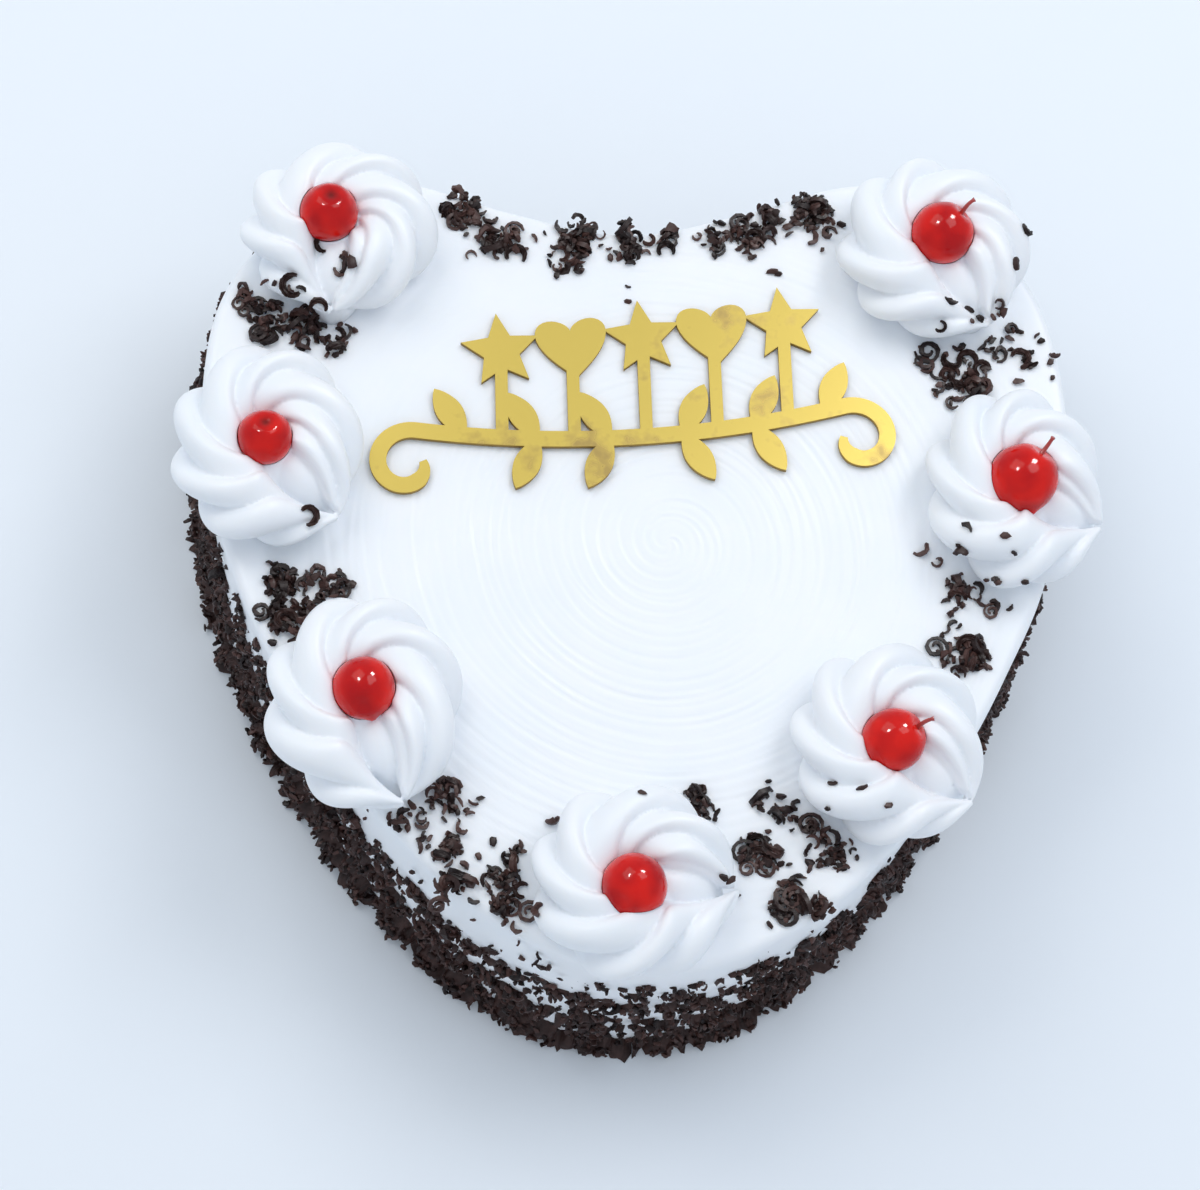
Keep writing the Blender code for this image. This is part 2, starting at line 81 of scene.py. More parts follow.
# The cream body: how its surface is divided, and the comb's spiral on top.
CORE_COLUMNS = 330
TOP_ROWS = 185
EDGE_ROUND = 2.4
EDGE_ROWS = 6
WALL_ROWS = 26
FOOT_ROWS = 4
EYE = (6.5, 4.2)
COMB_PITCH = 8.6
COMB_LINES = (0.06, 0.29, 0.45, 0.78)
COMB_DEPTH = 0.2
COMB_WIDTH = 0.42
COMB_DRIFT = 0.13
COMB_DRIFT_SIZE = 42
COMB_PATCH_SIZE = 26
TOP_WAVE = 0.35
TOP_WAVE_SIZE = 60
WALL_WAVE = 0.5
WALL_WAVE_SIZE = 30

# Rosettes: half width and half depth, direction of the tail, and the cherry's stalk, tip or dimple.
ROSETTES = [
    {"half": (23.5, 23.0), "tail": -58, "stalk": 35, "tip": None, "dimple": None},
    {"half": (21.5, 25.0), "tail": -22, "stalk": 50, "tip": -80, "dimple": None},
    {"half": (23.0, 25.5), "tail": -67, "stalk": None, "tip": -75, "dimple": None},
    {"half": (23.5, 23.0), "tail": -4, "stalk": None, "tip": None, "dimple": None},
    {"half": (22.5, 24.0), "tail": -34, "stalk": 15, "tip": None, "dimple": None},
    {"half": (22.5, 25.0), "tail": -43, "stalk": None, "tip": None, "dimple": 80},
    {"half": (23.5, 21.5), "tail": -95, "stalk": None, "tip": None, "dimple": 70},
]
LOBE_WIDTHS = (1.0, 1.3, 0.85, 1.2, 0.9)
PROFILE_POINTS = 150
LOBE_DEPTH = 2.7
LOBE_SKEW = 1.1
LOBE_FULLNESS = 0.42
PETAL_BULGE = 3.4
INNER_FLATNESS = 0.6
ROPE_RADIUS = 9.6
ROPE_HEIGHT = 8.6
ROPE_POINTS = 260
ROPE_START = math.radians(34)
ROPE_START_SIZE = 0.2
ROPE_END = math.radians(66)
ROPE_END_SIZE = 0.07
ROPE_SINK = 1.2
ROPE_TWIST = -1.5
LOBE_CROWDING = 0.3
HUB = (13.2, 13.2, 14.8)
WEDGE = (14.5, 7.5, 13.0)
WEDGE_ASIDE = 7.0
TIP_REACH = 1.6
CREAM_VOXEL = 0.4
CREAM_SMOOTHING = 1
CREAM_SEAT = 0.05

# Cherries: the height of their middle over the rosette's foot, their forms, and the bleed round them.
CHERRY_HEIGHT = 15.0
CHERRY_SWELL = 0.02
NAVEL_DEPTH = 0.1
NAVEL_WIDTH = 0.28
NAVEL_RIM = 0.02
TIP_LENGTH = 0.1
TIP_WIDTH = 0.16
SOCKET_GAP = 0.12
BLEED_REACH = 1.1
BLEED_STRENGTH = 0.12
BLEED_UNEVEN = 0.15
STALK_LENGTH = 5.4
STALK_RADIUS = 0.55
STALK_BEND = 0.8
STALK_STEPS = 8
STALK_LEAN = math.radians(52)
DIMPLE_LEAN = math.radians(14)

# The topper, cut from one thin sheet.
TOPPER_THICKNESS = 1.3
CHARM_ROW = {"middle": (2.5, 56.56), "turn": 6.0, "pitch": 17.2, "charms": 5}
STAR_RADIUS = 9.8
STAR_INNER = 0.46
HEART_SIZE = 8.6
HEART_POINTS = 56
BRANCH = {"middle": (-0.7, 30.56), "turn": 3.5, "length": 104.0, "rise": 5.0, "width": 4.0}
BRANCH_POINTS = 40
BRANCH_TIP = 0.45
BRANCH_TAPER = 20.0
CURL_POINTS = 44
CURL_RADIUS = 8.6
CURL_SWEEP = math.radians(300)
CURL_CLOSING = 0.6
LEAF = {"length": 14.0, "width": 6.4, "points": 14, "lean": 62, "fullness": 0.8}
CHARM_STALK_WIDTH = 3.0

# Shavings: the bed pressed on the wall, then the loose ones of each kind.
BED_COLUMNS = 820
BED_ROWS = 76
BED_TOP = 62.0
# How high the coat reaches in each direction from the eye, in degrees anticlockwise from the right.
COAT_TOPS = [(-180, 58), (-155, 54), (-140, 47), (-122, 42), (-105, 44), (-95, 52), (-80, 51), (-62, 44),
             (-45, 49), (-15, 52), (30, 55), (90, 59), (180, 58)]
COAT_TOP_WAVE = 2.5
COAT_FALL = 3
# The coat's patches: weight, stretch upwards, size and seed of each wave.
PATCH_WAVES = ((0.8, 1.3, 17, 31), (0.7, 1.0, 8, 32), (0.7, 1.0, 3.6, 34))
COVER_BASE = 0.04
COVER_FOOT = 0.7
COVER_PATCHES = 1.6
BED_COVER = 0.3
BED_DEPTH = 3.0
BED_FOOT = 1.6
BED_SINK = 0.6
BED_GRAIN = 1.5
BED_BUMP = 1.1
WALL_FOOT = 1.2
STRAY_SHARE = 0.015
WALL_COUNTS = {"curls": 400, "crumbs": 6600, "chips": 1950}
WALL_LUMPS = 150
LUMP_PIECES = 5.0
LUMP_SPREAD = 0.8
WALL_LUMP_SPREAD = 0.5
LUMP_HEIGHTS = (2, 54)
LUMP_KINDS = ("curls", "curls", "curls", "chips", "chips", "crumbs")
LOOSE_KINDS = ("curls", "curls", "crumbs", "crumbs", "chips")
LOOSE_SPREAD = 3.6
LOOSE_EVEN_SHARE = 0.55
RIM_SHARE = 0.93
LUMP_CLEARANCE = 1.06
EDGE_MARGIN = 0.6
# Radius, sweep, tightening, rise, width, thickness, points and seed of the hook and the spiral.
HOOK = (2.2, 4.3, 0.15, 0.3, 1.5, 1.1, 13, 70)
SPIRAL = (2.8, 9.5, 0.72, 0.5, 1.3, 0.9, 19, 71)
FINE_CURLS = 10
FINE_POINTS = 9
COARSE_CURLS = 8
COARSE_POINTS = 6
CHIP_POINTS = 5
SHAPES_OF_A_KIND = 8
CRUMB_SIDES = ((0.8, 1.7), (0.6, 1.1), (0.35, 0.8))
CURL_SWEEPS = (1.6, 2.2, 2.8, 3.4, 4.0, 5.4)
RAGGEDNESS = 0.32
FLOOR_CLEARANCE = 0.1
TOP_HEAPS = [
    {"at": (-81.2, -11.1), "half": (12, 10), "lumps": 12, "loose": 34},
    {"at": (-50.1, -64.1), "half": (9, 11), "lumps": 7, "loose": 27},
    {"at": (-38.7, -78.4), "half": (9, 10), "lumps": 7, "loose": 27},
    {"at": (11.2, -60.3), "half": (2.5, 3.5), "lumps": 3, "loose": 4},
    {"at": (34.6, -70.3), "half": (13, 11), "lumps": 12, "loose": 32},
    {"at": (28.2, -84.2), "half": (11, 5), "lumps": 6, "loose": 16},
    {"at": (77.5, -4.9), "half": (9, 10), "lumps": 9, "loose": 34},
    {"at": (75.6, -22.5), "half": (8, 7), "lumps": 3, "loose": 32},
    {"at": (86.6, 51.8), "half": (19, 9), "lumps": 5, "loose": 84},
    {"at": (-87.9, 62.9), "half": (8, 6), "lumps": 6, "loose": 16},
    {"at": (-74.8, 61.6), "half": (11, 9), "lumps": 7, "loose": 27},
    {"at": (-40.8, 92.0), "half": (5, 7), "lumps": 4, "loose": 14},
    {"at": (-28.5, 83.0), "half": (8, 5), "lumps": 3, "loose": 17},
    {"at": (-13.0, 80.6), "half": (10, 6), "lumps": 5, "loose": 26},
    {"at": (3.3, 83.0), "half": (11, 4.5), "lumps": 5, "loose": 26},
    {"at": (24.0, 85.4), "half": (11, 5), "lumps": 4, "loose": 26},
    {"at": (42.7, 89.8), "half": (11, 7), "lumps": 7, "loose": 30},
]

# Shavings that lie by themselves, some of them on rosettes: kind, shape, place, turn and size.
SINGLES = [
    ("curls", 0, (-77.7, 6.9), 200, 1.0), ("curls", 0, (-74.3, 75.9), 60, 0.9),
    ("curls", 2, (-69.0, 70.5), 20, 1.2), ("chips", 1, (-68.5, 72.5), 80, 1.2),
    ("curls", 3, (-70.5, 68.5), 150, 1.1), ("crumbs", 2, (-67.2, 69.5), 0, 1.4),
    ("curls", 0, (-81.9, 64.9), 100, 1.2), ("chips", 3, (14.3, -80.8), 30, 1.3),
    ("crumbs", 1, (16.0, -81.5), 0, 1.0), ("chips", 2, (40.3, -59.7), 10, 1.0),
    ("chips", 4, (46.2, -62.2), 70, 0.9), ("crumbs", 3, (52.0, -66.0), 0, 0.9),
    ("curls", 4, (75.3, 60.5), 90, 1.0), ("chips", 5, (80.5, 59.8), 15, 1.2),
    ("curls", 5, (95.5, 79.4), 80, 1.1), ("chips", 6, (91.4, 69.6), 60, 1.3),
    ("curls", 2, (67.1, 1.8), 45, 1.1), ("chips", 0, (75.2, 1.5), 100, 1.3),
    ("crumbs", 4, (83.3, -1.4), 0, 1.0), ("chips", 1, (85.8, -4.4), 20, 0.9),
    ("crumbs", 5, (88.5, -10.4), 0, 1.0), ("curls", 1, (71.8, 53.1), 0, 1.15),
    ("curls", 6, (-22.9, -64.1), 25, 1.5), ("crumbs", 0, (35.1, 74.8), 0, 1.3),
    ("crumbs", 6, (36.6, 74.2), 0, 0.9), ("crumbs", 3, (-0.6, 66.6), 0, 0.8),
    ("chips", 2, (-79.3, 64.2), 0, 1.0), ("chips", 6, (-0.4, 70.6), 30, 0.6),
    ("crumbs", 1, (-3.9, -62.8), 0, 0.8),
]

# The camera stands where the photograph was taken from.
CAMERA_PLACE = (-86.87, -302.63, 852.24)
CAMERA_TURN = (20.578, -4.817, -2.058)
CAMERA_LENS = 108.0
CAMERA_SENSOR = 36.0

# Lamps: name, place and size in metres, watts and colour. The second pair shows only as glints.
SOFT_LAMPS = [("key", (-0.5, 0.6, 1.1), 0.8, 3.6, "#FFFBF4"), ("fill", (0.5, 0.3, 1.2), 0.6, 3.4, "#FBFCFF")]
GLINT_LAMPS = [("right_glint", (0.56, 0.66, 1.05), 0.26, 12.0, "#FFFFFF"),
               ("left_glint", (-0.46, 0.34, 1.2), 0.18, 5.0, "#FFFFFF")]
LAMP_TARGET = (0, 0, 0.05)
ROOM_STRENGTH = 0.79
FLOOR_SIZE = 14
FLOOR_DROP = 0.2

# Sockets of a Mix node that mixes colours.
MIX_A = 6
MIX_B = 7
MIX_RESULT = 2


def linear(hex_colour):
    """An sRGB hex colour as the linear colour that Blender's sockets take."""
    channels = [int(hex_colour[start:start + 2], 16) / 255 for start in (1, 3, 5)]
    turned = [c / 12.92 if c <= 0.04045 else ((c + 0.055) / 1.055) ** 2.4 for c in channels]
    return (*turned, 1.0)


def per_mm(size):
    """The texture scale at which a pattern on Object coordinates has features of this size."""
    return 1 / (size * MM)


def add_node(tree, kind, inputs=None, **settings):
    """Adds a node with its settings, and gives each named input a value or a link."""
    node = tree.nodes.new(kind)
    for option, value in settings.items():
        setattr(node, option, value)
    for socket, value in (inputs or {}).items():
        if isinstance(value, bpy.types.NodeSocket):
            tree.links.new(value, node.inputs[socket])
        else:
            node.inputs[socket].default_value = value
    return node


def new_material(name):
    """A material with an empty node tree, and its tree and Object coordinates."""
    material = bpy.data.materials.new(name)
    material.use_nodes = True
    tree = material.node_tree
    tree.nodes.clear()
    place = add_node(tree, "ShaderNodeTexCoord").outputs["Object"]
    return material, tree, place


def finish_material(tree, shader):
    """Links the shader to the material's output."""
    add_node(tree, "ShaderNodeOutputMaterial", {"Surface": shader.outputs["BSDF"]})


def whipped_cream(name, stained):
    """Whipped cream, spread or piped: matt white, a little translucent, with fine pores."""
    material, tree, place = new_material(name)
    drift = add_node(tree, "ShaderNodeTexNoise", {"Vector": place, "Scale": per_mm(22), "Detail": 2.0})
    white = add_node(tree, "ShaderNodeMix", {
        0: drift.outputs["Fac"], MIX_A: linear("#F8FAFD"), MIX_B: linear("#EFF4FA")}, data_type="RGBA")
    colour = white.outputs[MIX_RESULT]
    if stained:
        # The syrup of the cherry bleeds a little way into the cream round it.
        stain = add_node(tree, "ShaderNodeAttribute", attribute_name="bleed")
        pink = add_node(tree, "ShaderNodeMix", {0: stain.outputs["Fac"], MIX_A: colour,
                                                MIX_B: linear("#F3A3AC")}, data_type="RGBA")
        colour = pink.outputs[MIX_RESULT]
    pores = add_node(tree, "ShaderNodeTexNoise", {"Vector": place, "Scale": per_mm(0.9), "Detail": 3.0})
    relief = add_node(tree, "ShaderNodeBump", {
        "Height": pores.outputs["Fac"], "Strength": 0.12, "Distance": 0.15 * MM})
    sheen = add_node(tree, "ShaderNodeMapRange", {
        "Value": drift.outputs["Fac"], "To Min": 0.38, "To Max": 0.55})
    shader = add_node(tree, "ShaderNodeBsdfPrincipled", {
        "Base Color": colour, "Roughness": sheen.outputs["Result"], "Normal": relief.outputs["Normal"],
        "IOR": 1.4, "Specular IOR Level": 0.4, "Subsurface Weight": 0.25,
        "Subsurface Radius": (1.0, 0.9, 0.8), "Subsurface Scale": 1.5 * MM})
    finish_material(tree, shader)
    return material


def dark_chocolate():
    """Dark chocolate, scraped: near black to reddish brown, with a dull gloss and a torn surface."""
    material, tree, place = new_material("dark_chocolate")
    tone = add_node(tree, "ShaderNodeAttribute", attribute_name="tone")
    grain = add_node(tree, "ShaderNodeTexNoise", {"Vector": place, "Scale": per_mm(1.4), "Detail": 3.0})
    blotch = add_node(tree, "ShaderNodeMapRange", {
        "Value": grain.outputs["Fac"], "From Min": 0.3, "From Max": 0.7, "To Min": 0.0, "To Max": 0.55})
    brown = add_node(tree, "ShaderNodeMix", {
        0: tone.outputs["Fac"], MIX_A: linear("#170E0E"), MIX_B: linear("#5E413B")}, data_type="RGBA")
    mottled = add_node(tree, "ShaderNodeMix", {
        0: blotch.outputs["Result"], MIX_A: brown.outputs[MIX_RESULT], MIX_B: linear("#2C1D1B")},
        data_type="RGBA")
    torn = add_node(tree, "ShaderNodeTexNoise", {"Vector": place, "Scale": per_mm(0.7), "Detail": 4.0})
    relief = add_node(tree, "ShaderNodeBump", {
        "Height": torn.outputs["Fac"], "Strength": 0.5, "Distance": 0.3 * MM})
    gloss = add_node(tree, "ShaderNodeMapRange", {
        "Value": grain.outputs["Fac"], "To Min": 0.3, "To Max": 0.62})
    shader = add_node(tree, "ShaderNodeBsdfPrincipled", {
        "Base Color": mottled.outputs[MIX_RESULT], "Roughness": gloss.outputs["Result"],
        "Normal": relief.outputs["Normal"], "IOR": 1.46, "Specular IOR Level": 0.3})
    finish_material(tree, shader)
    return material


def glace_cherry():
    """A candied cherry: clear red flesh with paler and deeper patches, under a wet skin of syrup."""
    material, tree, place = new_material("glace_cherry")
    flesh = add_node(tree, "ShaderNodeTexNoise", {"Vector": place, "Scale": per_mm(7), "Detail": 1.5})
    patch = add_node(tree, "ShaderNodeMapRange", {
        "Value": flesh.outputs["Fac"], "From Min": 0.35, "From Max": 0.65})
    red = add_node(tree, "ShaderNodeMix", {
        0: patch.outputs["Result"], MIX_A: linear("#B80409"), MIX_B: linear("#DE170C")}, data_type="RGBA")
    # The skin is slightly uneven, which breaks up its glints, and browned in the dimple of the stalk.
    uneven = add_node(tree, "ShaderNodeTexNoise", {"Vector": place, "Scale": per_mm(4.5), "Detail": 1.0})
    skin = add_node(tree, "ShaderNodeBump", {
        "Height": uneven.outputs["Fac"], "Strength": 0.35, "Distance": 0.35 * MM})
    dimple = add_node(tree, "ShaderNodeAttribute", attribute_name="dimple")
    browned = add_node(tree, "ShaderNodeMix", {
        0: dimple.outputs["Fac"], MIX_A: red.outputs[MIX_RESULT], MIX_B: linear("#5E1410")},
        data_type="RGBA")
    shader = add_node(tree, "ShaderNodeBsdfPrincipled", {
        "Base Color": browned.outputs[MIX_RESULT], "Roughness": 0.2, "IOR": 1.45,
        "Specular IOR Level": 0.05, "Subsurface Weight": 0.3, "Subsurface Radius": (1.0, 0.08, 0.05),
        "Subsurface Scale": 2.5 * MM, "Coat Weight": 0.8, "Coat Roughness": 0.03, "Coat IOR": 1.36,
        "Coat Normal": skin.outputs["Normal"]})
    finish_material(tree, shader)
    return material


def dyed_stalk():
    """The stub of a cherry's stalk, stained dark red by the syrup."""
    material, tree, place = new_material("dyed_stalk")
    fibre = add_node(tree, "ShaderNodeTexNoise", {"Vector": place, "Scale": per_mm(1.2)})
    red = add_node(tree, "ShaderNodeMix", {
        0: fibre.outputs["Fac"], MIX_A: linear("#8E1416"), MIX_B: linear("#B93A30")}, data_type="RGBA")
    shader = add_node(tree, "ShaderNodeBsdfPrincipled", {
        "Base Color": red.outputs[MIX_RESULT], "Roughness": 0.35, "Coat Weight": 0.5})
    finish_material(tree, shader)
    return material


def mirrored_acrylic():
    """Gold mirrored acrylic sheet: a bright even face, dulled by finger marks and smears."""
    material, tree, place = new_material("mirrored_acrylic")
    smear = add_node(tree, "ShaderNodeTexNoise", {
        "Vector": place, "Scale": per_mm(16), "Detail": 4.0, "Roughness": 0.62})
    mark = add_node(tree, "ShaderNodeMapRange", {
        "Value": smear.outputs["Fac"], "From Min": 0.56, "From Max": 0.68, "To Max": 0.8})
    gold = add_node(tree, "ShaderNodeMix", {
        0: mark.outputs["Result"], MIX_A: linear("#D5BA57"), MIX_B: linear("#7C6433")}, data_type="RGBA")
    dull = add_node(tree, "ShaderNodeMapRange", {
        "Value": mark.outputs["Result"], "To Min": 0.2, "To Max": 0.34})
    shader = add_node(tree, "ShaderNodeBsdfPrincipled", {
        "Base Color": gold.outputs[MIX_RESULT], "Metallic": 0.4, "Roughness": dull.outputs["Result"]})
    finish_material(tree, shader)
    return material


def cut_edge():
    """The laser-cut edge of the sheet: scorched, darker and matt."""
    material, tree, place = new_material("acrylic_cut_edge")
    scorch = add_node(tree, "ShaderNodeTexNoise", {"Vector": place, "Scale": per_mm(4)})
    brown = add_node(tree, "ShaderNodeMix", {
        0: scorch.outputs["Fac"], MIX_A: linear("#8A6A22"), MIX_B: linear("#B08E3C")}, data_type="RGBA")
    shader = add_node(tree, "ShaderNodeBsdfPrincipled", {
        "Base Color": brown.outputs[MIX_RESULT], "Metallic": 0.3, "Roughness": 0.45})
    finish_material(tree, shader)
    return material


def matt_floor():
    """Pale matt board that the cake stands on."""
    material, tree, place = new_material("matt_floor")
    drift = add_node(tree, "ShaderNodeTexNoise", {"Vector": place, "Scale": per_mm(300)})
    pale = add_node(tree, "ShaderNodeMix", {
        0: drift.outputs["Fac"], MIX_A: linear("#EAF1F8"), MIX_B: linear("#EFF4F9")}, data_type="RGBA")
    shader = add_node(tree, "ShaderNodeBsdfPrincipled", {
        "Base Color": pale.outputs[MIX_RESULT], "Roughness": 0.7})
    finish_material(tree, shader)
    return material


def deselect():
    """Nothing stays selected, so that the next operator acts on its own piece."""
    bpy.ops.object.select_all(action="DESELECT")


def choose(pieces):
    """Selects the pieces and makes the first one active."""
    deselect()
    for piece in pieces:
        piece.select_set(True)
    bpy.context.view_layer.objects.active = pieces[0]


def apply_modifiers(piece):
    """Applies the piece's modifiers in their order."""
    choose([piece])
    for modifier in list(piece.modifiers):
        bpy.ops.object.modifier_apply(modifier=modifier.name)


def read_places(piece):
    """The piece's vertices in millimetres, one row each."""
    places = np.empty(len(piece.data.vertices) * 3)
    piece.data.vertices.foreach_get("co", places)
    return places.reshape(-1, 3) / MM


def write_places(piece, places):
    """Moves the piece's vertices to places in millimetres."""
    piece.data.vertices.foreach_set("co", (places * MM).ravel())
    piece.data.update()


def write_values(piece, name, values):
    """Keeps a number for each vertex under the name that a material reads."""
    attribute = piece.data.attributes.new(name, "FLOAT", "POINT")
    attribute.data.foreach_set("value", np.asarray(values, dtype=np.float32))


def merge_doubles(piece, distance):
    """Joins vertices that meet and turns the faces outwards."""
    choose([piece])
    bpy.ops.object.mode_set(mode="EDIT")
    bpy.ops.mesh.select_all(action="SELECT")
    bpy.ops.mesh.remove_doubles(threshold=distance * MM)
    bpy.ops.mesh.normals_make_consistent(inside=False)
    bpy.ops.object.mode_set(mode="OBJECT")


def dress(piece, materials, replaced):
    """Gives a finished piece its finish and its place on the part, and hides the CAD nodes that it stands
    for.
    """
    piece.data.materials.clear()
    for material in materials:
        piece.data.materials.append(material)
    choose([piece])
    bpy.ops.object.shade_smooth()
    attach(piece, "root")
    if replaced:
        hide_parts(*replaced)


def wrapped_grid(name, columns, rows):
    """A grid primitive to be wrapped round a form, and each vertex's share across and along."""
    deselect()
    bpy.ops.mesh.primitive_grid_add(x_subdivisions=columns, y_subdivisions=rows, size=2)
    piece = bpy.context.object
    piece.name = name
    piece.data.name = name
    flat = read_places(piece) * MM
    return piece, (flat[:, 0] + 1) / 2, (flat[:, 1] + 1) / 2


def smooth_loop(points, steps):
    """A closed Catmull-Rom curve through the points, with some steps between each pair."""
    loop = []
    count = len(points)
    for index in range(count):
        before, start, end, after = (Vector(points[(index + k) % count]) for k in (-1, 0, 1, 2))
        for step in range(steps):
            t = step / steps
            loop.append(0.5 * (2 * start + (end - before) * t
                               + (2 * before - 5 * start + 4 * end - after) * t * t
                               + (3 * start - before - 3 * end + after) * t ** 3))
    return loop


def heart_outline():
    """The heart's outline as an array of points, anticlockwise from its tip."""
    left = [(-x * LEFT_LOBE, y) for x, y in reversed(HALF_OUTLINE[1:-1])]
    loop = smooth_loop(HALF_OUTLINE + left, OUTLINE_STEPS)
    return np.array([(point.x + OUTLINE_SHIFT[0], point.y + OUTLINE_SHIFT[1]) for point in loop])


OUTLINE = heart_outline()
OUTLINE_LENGTH = float(np.hypot(*(OUTLINE - np.roll(OUTLINE, 1, axis=0)).T).sum())


def reach_from_eye(angles):
    """How far the outline is from the spiral's eye in each direction."""
    away_x, away_y = (OUTLINE - np.array(EYE)).T
    return np.interp(angles, np.arctan2(away_y, away_x), np.hypot(away_x, away_y), period=math.tau)


def wall_place(share):
    """Points of the outline at shares of its length, and the directions straight out of it."""
    closed = np.vstack([OUTLINE, OUTLINE[:1]])
    steps = np.hypot(*np.diff(closed, axis=0).T)
    along = np.concatenate([[0], np.cumsum(steps)]) / steps.sum()
    share = np.asarray(share) % 1
    x = np.interp(share, along, closed[:, 0])
    y = np.interp(share, along, closed[:, 1])
    ahead, behind = (share + 1 / len(OUTLINE)) % 1, (share - 1 / len(OUTLINE)) % 1
    run_x = np.interp(ahead, along, closed[:, 0]) - np.interp(behind, along, closed[:, 0])
    run_y = np.interp(ahead, along, closed[:, 1]) - np.interp(behind, along, closed[:, 1])
    size = np.hypot(run_x, run_y)
    return x, y, run_y / size, -run_x / size


def slow_wave(x, y, size, seed):
    """A smooth uneven surface from a few crossing waves, about -1 to 1."""
    draw = random.Random(seed)
    total = 0
    for _ in range(5):
        angle = draw.uniform(0, math.tau)
        length = size * draw.uniform(0.7, 1.6)
        phase = draw.uniform(0, math.tau)
        total = total + np.sin((x * math.cos(angle) + y * math.sin(angle)) / length * math.tau + phase)
    return total / 5


def comb_relief(x, y):
    """The height that the comb left: thin uneven lines that wind out of the eye."""
    away_x, away_y = x - EYE[0], y - EYE[1]
    radius = np.hypot(away_x, away_y)
    turns = radius / COMB_PITCH + np.arctan2(away_y, away_x) / math.tau
    height = np.zeros_like(x)
    for index, line in enumerate(COMB_LINES):
        wave = slow_wave(x, y, COMB_DRIFT_SIZE, index + 3) * COMB_DRIFT
        off = turns - line - wave
        distance = (off - np.round(off)) * COMB_PITCH
        along = radius / COMB_PITCH
        strength = 0.55 + 0.45 * np.sin(along * (2.3 + index) + 1.7 * index) * np.sin(along * 0.9 + index)
        strength *= np.clip(radius / 2, 0, 1) * (0.75 + 0.6 * slow_wave(x, y, COMB_PATCH_SIZE, index + 40))
        groove = np.exp(-(distance / COMB_WIDTH) ** 2)
        lip = 0.5 * np.exp(-((distance - 2.2 * COMB_WIDTH) / COMB_WIDTH) ** 2)
        height += COMB_DEPTH * strength * (lip - groove)
    return height


def make_core(material):
    """The cream body: a grid wrapped from the spiral's eye over the edge, down the wall and under."""
    rows = [(step / TOP_ROWS, EDGE_ROUND, TOP) for step in range(TOP_ROWS)]
    for step in range(EDGE_ROWS + 1):
        angle = step / EDGE_ROWS * math.pi / 2
        rows.append((1, EDGE_ROUND * (1 - math.sin(angle)), TOP - EDGE_ROUND * (1 - math.cos(angle))))
    for step in range(1, WALL_ROWS + 1):
        rows.append((1, 0, (TOP - EDGE_ROUND) * (1 - step / WALL_ROWS)))
    for step in range(1, FOOT_ROWS + 1):
        rows.append((1 - step / FOOT_ROWS, 0, 0))
    piece, across, along = wrapped_grid("cream_body", CORE_COLUMNS, len(rows) - 1)
    row = np.rint(along * (len(rows) - 1)).astype(int)
    share, inset, height = np.array(rows)[row].T
    angles = across * math.tau
    reach = reach_from_eye(angles)
    even = reach.min()
    radius = even * share + (reach - inset - even) * share ** 4
    x = EYE[0] + radius * np.cos(angles)
    y = EYE[1] + radius * np.sin(angles)
    on_top = height == TOP
    flat = np.clip((1 - share) * 30, 0, 1)
    top_wave = TOP_WAVE * slow_wave(x, y, TOP_WAVE_SIZE, 1)
    z = height + np.where(on_top, flat * (comb_relief(x, y) + top_wave), 0)
    push = share ** 12 * WALL_WAVE * (slow_wave(x + height, y - height, WALL_WAVE_SIZE, 2) - 1)
    x = x + push * np.cos(angles)
    y = y + push * np.sin(angles)
    write_places(piece, np.column_stack([x, y, z]))
    merge_doubles(piece, 0.01)
    dress(piece, [material], ["cake_body"])


def ridge(angles):
    """How far the ridges of piped cream stand out at angles of the nozzle: 0 in a crease, 1 on a ridge."""
    starts = np.concatenate([[0], np.cumsum(LOBE_WIDTHS)])
    places = angles / math.tau % 1 * starts[-1]
    lobe = np.clip(np.searchsorted(starts, places, side="right") - 1, 0, len(LOBE_WIDTHS) - 1)
    leaning = np.clip((places - starts[lobe]) / np.array(LOBE_WIDTHS)[lobe], 0, 1) ** (1 + LOBE_SKEW)
    return np.sin(math.pi * leaning) ** LOBE_FULLNESS


def rope_size(turned):
    """The rope's thickness along its one turn: pinched at the start, full, then drawn out to a point."""
    start = ROPE_START_SIZE + (1 - ROPE_START_SIZE) * np.sin(np.clip(turned / ROPE_START, 0, 1) * math.pi / 2)
    left = np.clip((math.tau - turned) / ROPE_END, 0, 1)
    end = ROPE_END_SIZE + (1 - ROPE_END_SIZE) * np.sin(left * math.pi / 2)
    return np.minimum(start, end)


